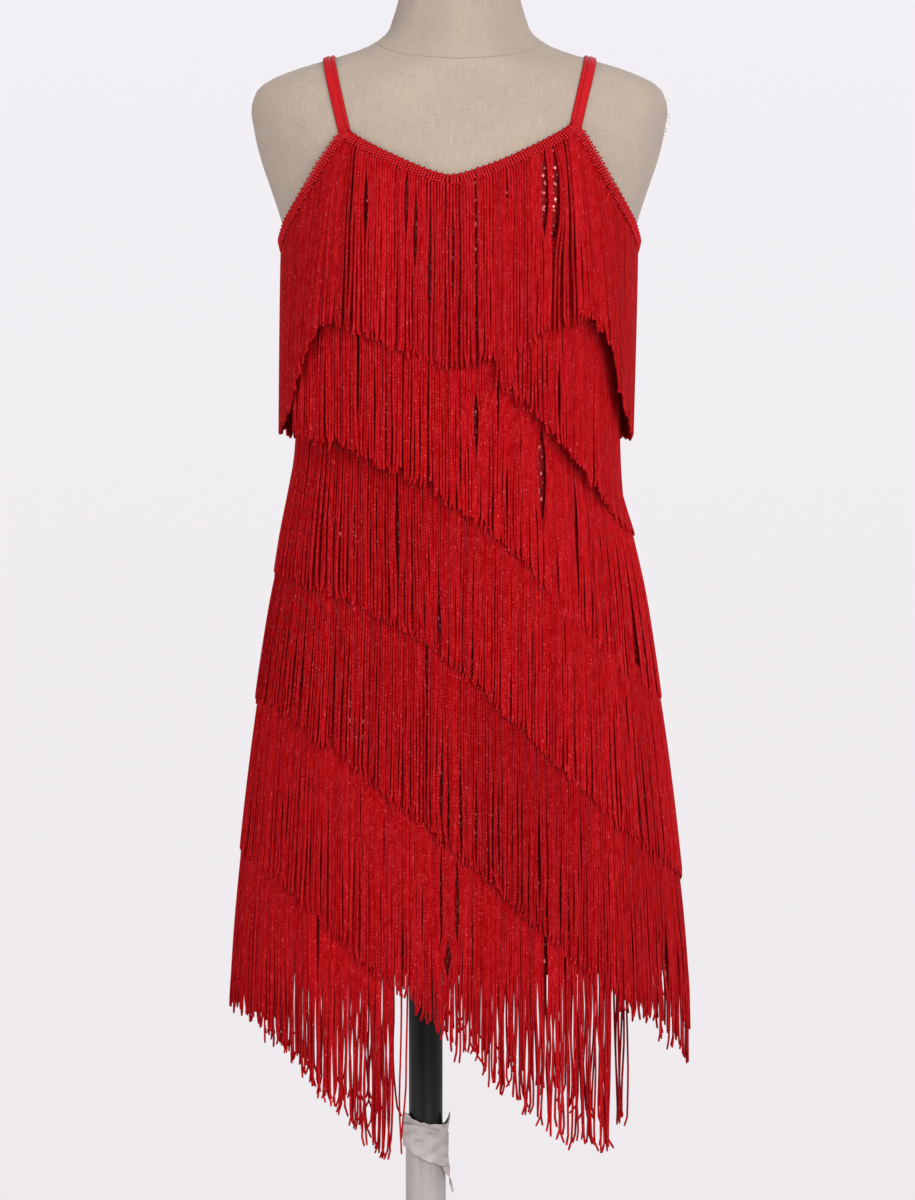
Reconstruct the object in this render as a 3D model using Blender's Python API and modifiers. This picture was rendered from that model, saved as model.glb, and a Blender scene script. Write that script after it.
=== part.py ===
"""A fringed latin dance dress worn by a linen-covered dress form on its stand.

The dress is a front and a back panel of thin stretch cloth, two narrow shoulder straps, and
seven rows of hanging fringe, each sewn on by its own header tape. The form, two telescoped
poles, a band of tape and a round base carry it. Metres, +Z up, the front faces -Y, and the
origin is on the floor under the pole.
"""

import math

import bmesh
import bpy
import numpy as np
from mathutils import Vector

# ---------------------------------------------------------------- driving sizes, in metres
TORSO_X = 0.029  # the form hangs this far beside its pole
HEM_Z = 0.618
FORM_BOTTOM_Z = 0.700
WAIST_ROWS_Z = (0.93, 1.26)  # the form has twice as many rings between these heights
FORM_COLUMNS = 32
LEAST_RING_STEP = 0.01  # between the form's flat bottom and its next ring
SHARP_ANGLE = math.radians(40)
SQUARENESS = 2.15  # exponent of every cross-section: 2 would be an ellipse

CLOTH = 0.0012
SEAM_GAP = 0.0003
ARMHOLE_COLUMNS = 9
NECKLINE_COLUMNS = 11
BACK_COLUMNS = 25
# Level rows of points, closest at the waist where the cloth bends most, and above them
# rows that fan out to the top edge.
PANEL_HEIGHTS = (
    HEM_Z, 0.69, 0.76, 0.83, 0.89, 0.94, 0.98, 1.01, 1.037, 1.062, 1.088, 1.115, 1.145, 1.18,
)
PANEL_UPPER_ROWS = 4

STRAP_WIDTH = 0.011
STRAP_CLOTH = 0.0010
STRAP_LIFT = 0.0005  # off the form at its tucked ends
STRAP_TOP_LIFT = 0.0010  # further off over the shoulder, which clears the flats of both
STRAP_TUCK = 0.012  # length sewn behind the top edge
STRAP_FRONT_X = 0.0955
STRAP_SHOULDER_X = 0.112
STRAP_BACK_X = 0.078
STRAP_STEPS = 24
STRAP_SAMPLES = 80  # readings of each half of its path, before they are evenly spaced
SHOULDER_Z = (1.36, 1.43)  # between these heights the shoulder slopes

HEADER_WIDTH = 0.010
HEADER_LIFT = 0.0011  # off the cloth, which clears the flats of both
LOCK_CLOTH = 0.0012
LOCK_LIFT = 0.0060  # how much further out the tips hang than the header
LOCK_LIFT_POWER = 0.6
LOCK_SHARE = 0.84  # of a lock's pitch that is lock; the rest is the gap beside it
LOCK_TIP_SHARE = 0.72
LOCK_ROWS = 3
HANG_STEPS = 9  # heights at which the body under a hanging point is read
STEEPEST_HEADER = 2.2  # most that a sloping header's upright height grows

UPPER_POLE_R = 0.0145
LOWER_POLE_R = 0.0172
POLE_BORE_R = 0.0150
LOWER_POLE_TOP_Z = 0.476
BORE_DEPTH = 0.060
BAND_TOP_Z = 0.489
BAND_BOTTOM_Z = 0.447
BAND_WALL = 0.0022
BASE_R = 0.165
BASE_HEIGHT = 0.008
COLLAR_R = 0.030
COLLAR_TOP_Z = 0.046
EDGE_ROUND = 0.003
SOCKET_DEPTH = 0.030
TURNED_STEPS = 28

# The body's cross-sections, and how far outside them the cloth hangs.
SECTION_COLUMNS = ("z", "half_width", "front", "back", "ease")
SECTIONS = (
    (0.600, 0.1610, 0.0980, 0.1120, 0.0300),
    (0.660, 0.1625, 0.0985, 0.1140, 0.0250),
    (0.720, 0.1635, 0.0990, 0.1155, 0.0190),
    (0.780, 0.1640, 0.0995, 0.1170, 0.0125),
    (0.840, 0.1635, 0.1000, 0.1180, 0.0060),
    (0.890, 0.1605, 0.0995, 0.1165, 0.0024),
    (0.940, 0.1535, 0.0970, 0.1080, 0.0018),
    (0.985, 0.1440, 0.0955, 0.0960, 0.0018),
    (1.030, 0.1340, 0.0955, 0.0850, 0.0018),
    (1.070, 0.1285, 0.0970, 0.0810, 0.0018),
    (1.110, 0.1295, 0.1010, 0.0820, 0.0018),
    (1.150, 0.1345, 0.1075, 0.0870, 0.0018),
    (1.190, 0.1405, 0.1140, 0.0925, 0.0026),
    (1.225, 0.1450, 0.1170, 0.0980, 0.0026),
    (1.260, 0.1535, 0.1150, 0.1010, 0.0026),
    (1.286, 0.1620, 0.1085, 0.1020, 0.0026),
    (1.311, 0.1705, 0.1010, 0.1010, 0.0026),
    (1.337, 0.1765, 0.0920, 0.0980, 0.0026),
    (1.360, 0.1780, 0.0840, 0.0920, 0.0026),
    (1.377, 0.1670, 0.0780, 0.0860, 0.0026),
    (1.389, 0.1390, 0.0730, 0.0810, 0.0026),
    (1.397, 0.1115, 0.0700, 0.0780, 0.0026),
    (1.405, 0.0860, 0.0670, 0.0740, 0.0026),
    (1.412, 0.0720, 0.0640, 0.0700, 0.0026),
    (1.420, 0.0625, 0.0600, 0.0660, 0.0026),
    (1.432, 0.0575, 0.0560, 0.0610, 0.0026),
    (1.449, 0.0525, 0.0520, 0.0570, 0.0026),
    (1.470, 0.0500, 0.0500, 0.0540, 0.0026),
)

# The front's upper edge, from the neckline's middle out over the strap's corner and down
# the armhole. "across" is the share of the half width. The right half runs a little higher.
TOP_EDGE_COLUMNS = ("across", "z")
TOP_EDGE = (
    (0.00, 1.2895),
    (0.07, 1.2906),
    (0.15, 1.2946),
    (0.25, 1.3018),
    (0.38, 1.3132),
    (0.48, 1.3235),
    (0.54, 1.3319),
    (0.585, 1.3255),
    (0.64, 1.3140),
    (0.70, 1.3020),
    (0.77, 1.2873),
    (0.85, 1.2719),
    (0.94, 1.2551),
    (1.00, 1.2400),
)
STRAP_CORNER = 0.54
RIGHT_RISE_AT = (-0.05, 0.09, 0.50, 0.93, 1.00)
RIGHT_RISE = (0.0, 0.0048, 0.0055, 0.0055, 0.0)
BACK_EDGE_SIDE_Z = 1.240
BACK_EDGE_MIDDLE_Z = 1.225

# Each lower row of fringe winds round the body at a slant. Its header's upper edge runs
# from the start angle to the end angle, counter-clockwise seen from above, where 0 is the
# dress's right-hand side in a front view and -90 the middle of its front. The heights
# stand at the sides and at the half-way and middle points of the front and of the back, and
# the drop reaches from the header's upper edge to the tips.
ROW_COLUMNS = (
    "name",
    "start",
    "end",
    "locks",
    "left",
    "front_left",
    "front_middle",
    "front_right",
    "right",
    "back_right",
    "back_middle",
    "back_left",
    "drop",
)
ROWS = (
    ("fringe_bust", -76, 57, 13, 1.290, 1.290, 1.290, 1.2340, 1.1495, 1.206, 1.240, 1.240, 0.159),
    ("fringe_waist", -154, 133, 37, 1.2389, 1.2081, 1.1657, 1.1062, 1.0076, 1.076, 1.135, 1.187, 0.158),
    ("fringe_hip", -180, 180, 40, 1.1168, 1.0775, 1.0354, 0.9596, 0.8579, 0.929, 0.990, 1.055, 0.162),
    ("fringe_thigh", -180, 180, 46, 1.0219, 0.9546, 0.8908, 0.8067, 0.711, 0.790, 0.871, 0.945, 0.172),
    ("fringe_hem", 41, 309, 42, 0.8954, 0.8162, 0.7387, 0.6535, 0.640, 0.664, 0.732, 0.811, 0.176),
    ("fringe_tail", 107, 254.5, 21, 0.785, 0.6715, 0.570, 0.6335, 0.6335, 0.633, 0.644, 0.672, 0.178),
)
# The first row follows the top edge all round, in four runs between the strap's corners.
TOP_ROW_LOCKS = (9, 11, 9, 20)
TOP_ROW_DROP = 0.163
LOWEST_HEADER_Z = HEM_Z + HEADER_WIDTH + 0.002

COLOURS = {
    "cloth": (0.30, 0.008, 0.012),
    "strap": (0.62, 0.012, 0.018),
    "fringe": (0.50, 0.010, 0.014),
    "linen": (0.60, 0.51, 0.42),
    "upper_pole": (0.012, 0.012, 0.012),
    "lower_pole": (0.60, 0.58, 0.55),
    "band": (0.66, 0.61, 0.56),
    "base": (0.10, 0.10, 0.10),
}


# ---------------------------------------------------------------- shapes shared by the pieces
def smooth_read(stations, values, at):
    """Reads a smooth curve through the values at their stations, which ascend."""
    at = min(max(at, stations[0]), stations[-1])
    i = min(max(int(np.searchsorted(stations, at)) - 1, 0), len(stations) - 2)
    slopes = np.gradient(values, stations)
    span = stations[i + 1] - stations[i]
    t = (at - stations[i]) / span
    start, end = values[i], values[i + 1]
    curve = (1 + 2 * t) * (1 - t) ** 2 * start + t * t * (3 - 2 * t) * end
    return curve + span * t * (1 - t) * ((1 - t) * slopes[i] - t * slopes[i + 1])


SECTION = {name: np.array(values) for name, values in zip(SECTION_COLUMNS, zip(*SECTIONS))}
TOP = {name: np.array(values) for name, values in zip(TOP_EDGE_COLUMNS, zip(*TOP_EDGE))}


def section(name, z):
    """One size of the body's cross-section at height z."""
    return smooth_read(SECTION["z"], SECTION[name], z)


def powered(value, power):
    """The power of a number's size, with the number's sign."""
    return math.copysign(abs(value) ** power, value)


def ring_point(angle, z, half_width, depth, out):
    """A point at an angle on a cross-section of these sizes, moved straight out of it."""
    x = half_width * powered(math.cos(angle), 2 / SQUARENESS)
    y = depth * powered(math.sin(angle), 2 / SQUARENESS)
    normal = Vector(
        (
            powered(x / half_width, SQUARENESS - 1) / half_width,
            powered(y / depth, SQUARENESS - 1) / depth,
        )
    ).normalized()
    return Vector((TORSO_X + x + out * normal.x, y + out * normal.y, z))


def depth_name(angle):
    return "front" if math.sin(angle) < 0 else "back"


def body_point(angle, z, out=0.0):
    """A point on the form, or out of it."""
    return ring_point(angle, z, section("half_width", z), section(depth_name(angle), z), out)


def cloth_point(angle, z, out=0.0):
    """A point on the inner face of the cloth, or out of it."""
    return body_point(angle, z, section("ease", z) + out)


def hanging_point(angle, root_z, z, out):
    """A point at height z on what hangs from the cloth at root_z: it lies on the cloth
    where the body widens below its root, and drops straight where the body draws in."""
    heights = np.linspace(root_z, z, HANG_STEPS)
    width = max(section("half_width", h) + section("ease", h) for h in heights)
    depth = max(section(depth_name(angle), h) + section("ease", h) for h in heights)
    return ring_point(angle, z, width, depth, CLOTH + out)


def angle_at(across, back=False):
    """The angle at which a share of the half width is reached, on the front or the back."""
    angle = math.acos(powered(across, SQUARENESS / 2))
    return angle if back else -angle


def share_across(angle):
    return powered(math.cos(angle), 2 / SQUARENESS)


def top_edge_z(angle):
    """The height of the dress's upper edge at an angle."""
    across = share_across(angle)
    if math.sin(angle) < -1e-9:
        rise = np.interp(across, RIGHT_RISE_AT, RIGHT_RISE)
        return float(np.interp(abs(across), TOP["across"], TOP["z"]) + rise)
    rise = across**2
    return BACK_EDGE_MIDDLE_Z + (BACK_EDGE_SIDE_Z - BACK_EDGE_MIDDLE_Z) * rise


def row_height(row):
    """The function that gives a slanted row's header height at an angle."""
    stations = (-1.0, -0.5, 0.0, 0.5, 1.0)
    front = [row[n] for n in ("left", "front_left", "front_middle", "front_right", "right")]
    back = [row[n] for n in ("left", "back_left", "back_middle", "back_right", "right")]

    def height(angle):
        values = front if math.sin(angle) < 0 else back
        return max(smooth_read(stations, values, share_across(angle)), LOWEST_HEADER_Z)

    return height


# ---------------------------------------------------------------- objects and finishes
for old in list(bpy.data.objects):
    bpy.data.objects.remove(old)

dress_collection = bpy.data.collections.new("latin_dance_dress")
bpy.context.scene.collection.children.link(dress_collection)


def finish(name, colour, roughness, metallic=0.0):
    """One plain material for one piece."""
    material = bpy.data.materials.new(name + "_finish")
    material.use_nodes = True
    shader = material.node_tree.nodes["Principled BSDF"]
    shader.inputs["Base Color"].default_value = (*COLOURS[colour], 1.0)
    shader.inputs["Roughness"].default_value = roughness
    shader.inputs["Metallic"].default_value = metallic
    return material


def add_object(name, mesh, material, smooth=True):
    if smooth:
        mesh.shade_smooth()
        mesh.set_sharp_from_angle(angle=SHARP_ANGLE)
    piece = bpy.data.objects.new(name, mesh)
    piece.data.materials.append(material)
    dress_collection.objects.link(piece)
    return piece


def thicken(piece, thickness):
    """Gives an open surface a wall on its outer side."""
    wall = piece.modifiers.new("wall", "SOLIDIFY")
    wall.thickness = thickness
    wall.offset = 1.0
    return piece


def sheet_mesh(name, columns):
    """An open surface through columns of points that run upwards, side by side in the
    counter-clockwise sense, so that its faces look outwards."""
    bm = bmesh.new()
    grid = [[bm.verts.new(point) for point in column] for column in columns]
    for left, right in zip(grid, grid[1:]):
        for low in range(len(left) - 1):
            bm.faces.new((left[low], right[low], right[low + 1], left[low + 1]))
    mesh = bpy.data.meshes.new(name)
    bm.to_mesh(mesh)
    bm.free()
    return mesh


def turned(name, profile, closed, material):
    """A solid turned about the pole's axis from (radius, height) points, which run from
    the top down the outer side."""
    count = len(profile)
    edges = [(i, i + 1) for i in range(count - 1)]
    if closed:
        edges.append((count - 1, 0))
    mesh = bpy.data.meshes.new(name)
    mesh.from_pydata([(radius, 0.0, z) for radius, z in profile], edges, [])
    piece = add_object(name, mesh, material, smooth=False)
    screw = piece.modifiers.new("turn", "SCREW")
    screw.steps = TURNED_STEPS
    screw.render_steps = TURNED_STEPS
    screw.use_merge_vertices = True
    screw.merge_threshold = 0.00001
    screw.use_smooth_shade = True
    return piece


# ---------------------------------------------------------------- the dress: two panels
def panel(name, angles):
    """A wall of cloth from the hem to the top edge over a range of angles."""
    columns = []
    for angle in angles:
        upper = np.linspace(PANEL_HEIGHTS[-1], top_edge_z(angle), PANEL_UPPER_ROWS + 1)[1:]
        columns.append([cloth_point(angle, z) for z in (*PANEL_HEIGHTS, *upper)])
    mesh = sheet_mesh(name, columns)
    return thicken(add_object(name, mesh, finish(name, "cloth", 0.5)), CLOTH)


side_gap_angle = SEAM_GAP / 2 / SECTION["half_width"].min()
left_corner = -math.pi - angle_at(STRAP_CORNER)
right_corner = angle_at(STRAP_CORNER)
front_angles = np.concatenate(
    (
        np.linspace(-math.pi + side_gap_angle, left_corner, ARMHOLE_COLUMNS),
        np.linspace(left_corner, right_corner, NECKLINE_COLUMNS)[1:],
        np.linspace(right_corner, -side_gap_angle, ARMHOLE_COLUMNS)[1:],
    )
)
back_angles = np.linspace(side_gap_angle, math.pi - side_gap_angle, BACK_COLUMNS)
panel("dress_front", front_angles)
panel("dress_back", back_angles)


# ---------------------------------------------------------------- the dress: straps
def surface_normal(angle, z):
    """The form's outward normal, found from steps along its surface."""
    step = 0.0004
    across = body_point(angle + step, z) - body_point(angle - step, z)
    up = body_point(angle, z + step) - body_point(angle, z - step)
    return across.cross(up).normalized()


def spaced(places, point_at, count):
    """The (angle, height) places along a path, read at equal distances along it."""
    points = [point_at(*place) for place in places]
    steps = [(b - a).length for a, b in zip(points, points[1:])]
    run = np.concatenate(((0.0,), np.cumsum(steps)))
    angles, heights = zip(*places)
    marks = np.linspace(0.0, run[-1], count)
    return [(float(np.interp(m, run, angles)), float(np.interp(m, run, heights))) for m in marks]


def shoulder_top_z(x):
    """The height at which the sloping shoulder is this wide."""
    heights = np.linspace(*SHOULDER_Z, 200)
    widths = [section("half_width", h) for h in heights]
    return float(heights[next(i for i, w in enumerate(widths) if w < x)])


def strap_places(side):
    """A strap's middle line over the shoulder, from behind the front edge to behind the
    back edge. side is -1 or 1."""
    top_z = shoulder_top_z(STRAP_SHOULDER_X)
    front_z = TOP["z"].max() - STRAP_TUCK
    back_z = BACK_EDGE_MIDDLE_Z - STRAP_TUCK
    places = []
    for low_z, low_x, back, shares in (
        (front_z, STRAP_FRONT_X, False, np.linspace(0.0, 1.0, STRAP_SAMPLES)),
        (back_z, STRAP_BACK_X, True, np.linspace(1.0, 0.0, STRAP_SAMPLES)),
    ):
        for share in shares:
            rise = math.sin(share * math.pi / 2)
            z = low_z + (top_z - low_z) * rise
            x = low_x + (STRAP_SHOULDER_X - low_x) * rise
            across = min(x / section("half_width", z), 1.0)
            places.append((angle_at(across, back), z))
    if side < 0:
        places = [(math.pi - angle if angle > 0 else -math.pi - angle, z) for angle, z in places]
        places = [(angle % (2 * math.pi), z) for angle, z in places]
    return places


def strap(name, side):
    places = spaced(strap_places(side), body_point, STRAP_STEPS)
    middle = [body_point(*place) for place in places]
    columns = [[], [], []]
    for i, place in enumerate(places):
        normal = surface_normal(*place)
        along = middle[min(i + 1, len(middle) - 1)] - middle[max(i - 1, 0)]
        sideways = normal.cross(along).normalized() * STRAP_WIDTH / 2
        lift = STRAP_LIFT + STRAP_TOP_LIFT * math.sin(math.pi * i / (STRAP_STEPS - 1)) ** 0.5
        for column, share in zip(columns, (1, 0, -1)):
            column.append(middle[i] + normal * lift + sideways * share)
    mesh = sheet_mesh(name, columns)
    return thicken(add_object(name, mesh, finish(name, "strap", 0.45)), STRAP_CLOTH)


strap("strap_left", -1)
strap("strap_right", 1)


# ---------------------------------------------------------------- the dress: rows of fringe
def header_places(start, end, locks, height):
    """The (angle, height) places where the locks of a run begin and end. Even steps of
    angle set them closer together where the body turns more."""
    pitch = (end - start) / locks
    places = []
    for i in range(locks):
        middle = start + (i + 0.5) * pitch
        for side in (-1, 1):
            angle = middle + side * pitch * LOCK_SHARE / 2
            places.append((angle, height(angle)))
    return places


def header_height(place, height):
    """The upright height of the header tape at a place, more where the tape slopes."""
    angle, z = place
    step = 0.01
    low, high = cloth_point(angle - step, z), cloth_point(angle + step, z)
    slope = (height(angle + step) - height(angle - step)) / (high - low).length
    return HEADER_WIDTH * min(math.sqrt(1 + slope * slope), STEEPEST_HEADER)


def comb(name, runs, row_drop):
    """A row of fringe: the header tape, with a lock hanging from each pitch of it.
    A run is its places and its height function; runs that follow on share one tape."""
    bm = bmesh.new()
    previous = None
    first = None
    closed = runs[0][2]
    for places, height, _ in runs:
        for i in range(0, len(places), 2):
            edges = []
            for place in (places[i], places[i + 1]):
                angle, z = place
                low_z = z - header_height(place, height)
                upper = bm.verts.new(cloth_point(angle, z, CLOTH + HEADER_LIFT))
                lower = bm.verts.new(cloth_point(angle, low_z, CLOTH + HEADER_LIFT))
                edges.append((upper, lower, angle, z, low_z))
            (up_a, low_a, angle_a, z_a, z_low_a), (up_b, low_b, angle_b, z_b, z_low_b) = edges
            bm.faces.new((low_a, low_b, up_b, up_a))
            if previous:
                bm.faces.new((previous[1], low_a, up_a, previous[0]))
            else:
                first = (up_a, low_a)
            previous = (up_b, low_b)
            middle = (angle_a + angle_b) / 2
            above = (low_a, low_b)
            for row in range(1, LOCK_ROWS + 1):
                share = row / LOCK_ROWS
                wide = 1 + (LOCK_TIP_SHARE - 1) * share
                below = []
                for angle, z, z_low in ((angle_a, z_a, z_low_a), (angle_b, z_b, z_low_b)):
                    drop = (z - z_low) + (row_drop - (z - z_low)) * share
                    out = HEADER_LIFT + LOCK_LIFT * (drop / row_drop) ** LOCK_LIFT_POWER
                    turned_in = middle + (angle - middle) * wide
                    below.append(bm.verts.new(hanging_point(turned_in, z, z - drop, out)))
                bm.faces.new((below[0], below[1], above[1], above[0]))
                above = below
    if closed:
        bm.faces.new((previous[1], first[1], first[0], previous[0]))
    mesh = bpy.data.meshes.new(name)
    bm.to_mesh(mesh)
    bm.free()
    return thicken(add_object(name, mesh, finish(name, "fringe", 0.6)), LOCK_CLOTH)


run_ends = (-math.pi, left_corner, right_corner, 0.0, math.pi)
top_runs = [
    (header_places(start, end, locks, top_edge_z), top_edge_z, True)
    for start, end, locks in zip(run_ends, run_ends[1:], TOP_ROW_LOCKS)
]
comb("fringe_top", top_runs, TOP_ROW_DROP)

for values in ROWS:
    row = dict(zip(ROW_COLUMNS, values))
    row_z = row_height(row)
    start, end = math.radians(row["start"]), math.radians(row["end"])
    places = header_places(start, end, row["locks"], row_z)
    comb(row["name"], [(places, row_z, end - start > 2 * math.pi - 0.01)], row["drop"])


# ---------------------------------------------------------------- the dress form
def form_torso():
    """The linen body: a loft through the cross-sections, closed by flat ends."""
    table = SECTION["z"]
    half_way = (table[1:] + table[:-1]) / 2
    upper = table[table > FORM_BOTTOM_Z + LEAST_RING_STEP]
    in_waist = half_way[(half_way > WAIST_ROWS_Z[0]) & (half_way < WAIST_ROWS_Z[1])]
    heights = np.concatenate(((FORM_BOTTOM_Z,), np.sort(np.concatenate((upper, in_waist)))))
    bm = bmesh.new()
    rings = []
    for z in heights:
        angles = np.linspace(-math.pi, math.pi, FORM_COLUMNS, endpoint=False)
        rings.append([bm.verts.new(body_point(angle, z)) for angle in angles])
    for low, high in zip(rings, rings[1:]):
        for i in range(FORM_COLUMNS):
            after = (i + 1) % FORM_COLUMNS
            bm.faces.new((low[i], low[after], high[after], high[i]))
    bm.faces.new(reversed(rings[0]))
    bm.faces.new(rings[-1])
    mesh = bpy.data.meshes.new("form_torso")
    bm.to_mesh(mesh)
    bm.free()
    return add_object("form_torso", mesh, finish("form_torso", "linen", 0.9))


form_torso()

# ---------------------------------------------------------------- the stand
bore_floor_z = LOWER_POLE_TOP_Z - BORE_DEPTH
turned(
    "pole_upper",
    (
        (0.0, FORM_BOTTOM_Z - SEAM_GAP),
        (UPPER_POLE_R, FORM_BOTTOM_Z - SEAM_GAP),
        (UPPER_POLE_R, bore_floor_z + SEAM_GAP),
        (0.0, bore_floor_z + SEAM_GAP),
    ),
    False,
    finish("pole_upper", "upper_pole", 0.35),
)

socket_floor_z = COLLAR_TOP_Z - SOCKET_DEPTH
turned(
    "pole_lower",
    (
        (0.0, bore_floor_z),
        (POLE_BORE_R, bore_floor_z),
        (POLE_BORE_R, LOWER_POLE_TOP_Z),
        (LOWER_POLE_R, LOWER_POLE_TOP_Z),
        (LOWER_POLE_R, socket_floor_z + SEAM_GAP),
        (0.0, socket_floor_z + SEAM_GAP),
    ),
    False,
    finish("pole_lower", "lower_pole", 0.5),
)

band_inner_r = LOWER_POLE_R + SEAM_GAP
turned(
    "pole_band",
    (
        (band_inner_r, BAND_TOP_Z),
        (band_inner_r + BAND_WALL, BAND_TOP_Z),
        (band_inner_r + BAND_WALL, BAND_BOTTOM_Z),
        (band_inner_r, BAND_BOTTOM_Z),
    ),
    True,
    finish("pole_band", "band", 0.8),
)

socket_r = LOWER_POLE_R + SEAM_GAP
turned(
    "base_plate",
    (
        (0.0, socket_floor_z),
        (socket_r, socket_floor_z),
        (socket_r, COLLAR_TOP_Z),
        (COLLAR_R - EDGE_ROUND, COLLAR_TOP_Z),
        (COLLAR_R, COLLAR_TOP_Z - EDGE_ROUND),
        (COLLAR_R, BASE_HEIGHT),
        (BASE_R - EDGE_ROUND, BASE_HEIGHT - EDGE_ROUND / 2),
        (BASE_R, BASE_HEIGHT - EDGE_ROUND),
        (BASE_R, 0.0),
        (0.0, 0.0),
    ),
    False,
    finish("base_plate", "base", 0.45, 0.6),
)
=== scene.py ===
import math

import bmesh
import bpy
import numpy as np
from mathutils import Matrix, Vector


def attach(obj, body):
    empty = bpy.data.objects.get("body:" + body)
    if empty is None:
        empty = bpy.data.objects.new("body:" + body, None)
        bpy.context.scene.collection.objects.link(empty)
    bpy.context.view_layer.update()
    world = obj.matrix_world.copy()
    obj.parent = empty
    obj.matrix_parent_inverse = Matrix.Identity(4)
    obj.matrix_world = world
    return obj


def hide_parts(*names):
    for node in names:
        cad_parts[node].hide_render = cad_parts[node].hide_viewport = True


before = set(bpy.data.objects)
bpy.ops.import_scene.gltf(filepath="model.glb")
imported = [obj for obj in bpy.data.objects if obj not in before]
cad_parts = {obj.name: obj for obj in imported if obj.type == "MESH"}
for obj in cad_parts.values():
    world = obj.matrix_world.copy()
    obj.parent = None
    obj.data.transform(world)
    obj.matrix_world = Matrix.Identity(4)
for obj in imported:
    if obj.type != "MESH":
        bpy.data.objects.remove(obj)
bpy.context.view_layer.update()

# ---------------------------------------------------------------- the studio
# A pale floor under the stand, a bright even room and soft lamps, the main one on the right.
# The camera stands level with the dress's middle, straight in front of it.
CAMERA_DISTANCE = 5.0
VIEW_HEIGHT = 1.032  # height that the view spans at the dress
VIEW_MIDDLE = (0.0273, 0.933)
SENSOR = 36.0
FLOOR_R = 3.4
ROOM_HIGH = (0.896, 0.871, 0.913)
ROOM_LOW = (0.855, 0.823, 0.847)
ROOM_FADE = 0.11  # the two blend between these rises under and over the level
LAMPS_AIM = (0.03, 0.0, 0.95)
LAMPS = (
    # name, place, width, watts
    ("key", (1.8, -3.6, 2.1), 2.6, 130.0),
    ("fill", (-3.1, -3.2, 1.8), 2.2, 74.0),
    ("side", (2.45, -3.15, 2.85), 0.5, 28.0),
    ("back", (0.6, 3.6, 2.8), 2.2, 30.0),
)

scene = bpy.context.scene
scene.view_settings.view_transform = "Standard"
camera_data = bpy.data.cameras.new("camera")
camera_data.sensor_width = SENSOR
camera_data.lens = SENSOR * CAMERA_DISTANCE / VIEW_HEIGHT
camera = bpy.data.objects.new("camera", camera_data)
camera.location = (VIEW_MIDDLE[0], -CAMERA_DISTANCE, VIEW_MIDDLE[1])
camera.rotation_euler = (math.pi / 2, 0.0, 0.0)
scene.collection.objects.link(camera)
scene.camera = camera

for name, place, width, watts in LAMPS:
    light = bpy.data.lights.new("lamp_" + name, "AREA")
    light.size = width
    light.energy = watts
    lamp = bpy.data.objects.new("lamp_" + name, light)
    lamp.location = place
    lamp.rotation_euler = (Vector(LAMPS_AIM) - Vector(place)).to_track_quat("-Z", "Y").to_euler()
    scene.collection.objects.link(lamp)


def node(tree, kind, inputs=(), out=0, **settings):
    """One output of a new node. Its inputs are plain values, or other nodes' outputs."""
    made = tree.nodes.new(kind)
    for key, value in settings.items():
        setattr(made, key, value)
    for key, value in dict(inputs).items():
        if isinstance(value, bpy.types.NodeSocket):
            tree.links.new(value, made.inputs[key])
        else:
            made.inputs[key].default_value = value
    return made.outputs[out]


def spread(tree, value, low=0.0, high=1.0, to_low=0.0, to_high=1.0):
    """A value moved from one range to another, and kept inside it."""
    ends = {"From Min": low, "From Max": high, "To Min": to_low, "To Max": to_high}
    return node(tree, "ShaderNodeMapRange", {"Value": value, **ends})


def mix(tree, factor, first, second, kind="MIX"):
    """Two colours mixed, each an output or three plain values."""
    colours = [c if isinstance(c, bpy.types.NodeSocket) else (*c, 1.0) for c in (first, second)]
    inputs = {"Factor": factor, 6: colours[0], 7: colours[1]}
    return node(tree, "ShaderNodeMix", inputs, out=2, data_type="RGBA", blend_type=kind)


def ramp(tree, value, stops):
    """A colour ramp through (place, colour) stops."""
    output = node(tree, "ShaderNodeValToRGB", {"Fac": value}, out="Color")
    elements = output.node.color_ramp.elements
    for place, _ in stops[2:]:
        elements.new(place)
    for element, (place, colour) in zip(elements, stops):
        element.position = place
        element.color = (*colour, 1.0)
    return output


def cloudiness(tree, place, scale, stretch=(1.0, 1.0, 1.0), detail=2.0):
    """A noise value, with its coordinates stretched."""
    place = node(tree, "ShaderNodeMapping", {"Vector": place, "Scale": stretch})
    inputs = {"Vector": place, "Scale": scale, "Detail": detail}
    return node(tree, "ShaderNodeTexNoise", inputs, out="Fac")


def object_place(tree):
    return node(tree, "ShaderNodeTexCoord", out="Object")


def new_finish(name, roughness, specular=0.5):
    """A material, its node tree and its shader."""
    made = bpy.data.materials.new(name)
    made.use_nodes = True
    shader = made.node_tree.nodes["Principled BSDF"]
    shader.inputs["Roughness"].default_value = roughness
    shader.inputs["Specular IOR Level"].default_value = specular
    return made, made.node_tree, shader


def painted(tree, shader, value, stops):
    """Paints a finish with a ramp of colours."""
    tree.links.new(ramp(tree, value, stops), shader.inputs["Base Color"])


def worked(mesh, *jobs):
    """Does jobs on a mesh in edit form, one after another."""
    bm = bmesh.new()
    bm.from_mesh(mesh)
    for job in jobs:
        job(bm)
    bm.to_mesh(mesh)
    bm.free()


def add_piece(name, mesh, material, smooth=True):
    if smooth:
        mesh.shade_smooth()
    piece = bpy.data.objects.new(name, mesh)
    piece.data.materials.clear()
    piece.data.materials.append(material)
    scene.collection.objects.link(piece)
    return piece


world = bpy.data.worlds.new("room")
world.use_nodes = True
scene.world = world
room = world.node_tree
direction = node(room, "ShaderNodeTexCoord", out="Generated")
rise = node(room, "ShaderNodeSeparateXYZ", {0: direction}, out="Z")
room_tone = mix(room, spread(room, rise, -ROOM_FADE, ROOM_FADE), ROOM_LOW, ROOM_HIGH)
room.links.new(room_tone, room.nodes["Background"].inputs["Color"])

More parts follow.
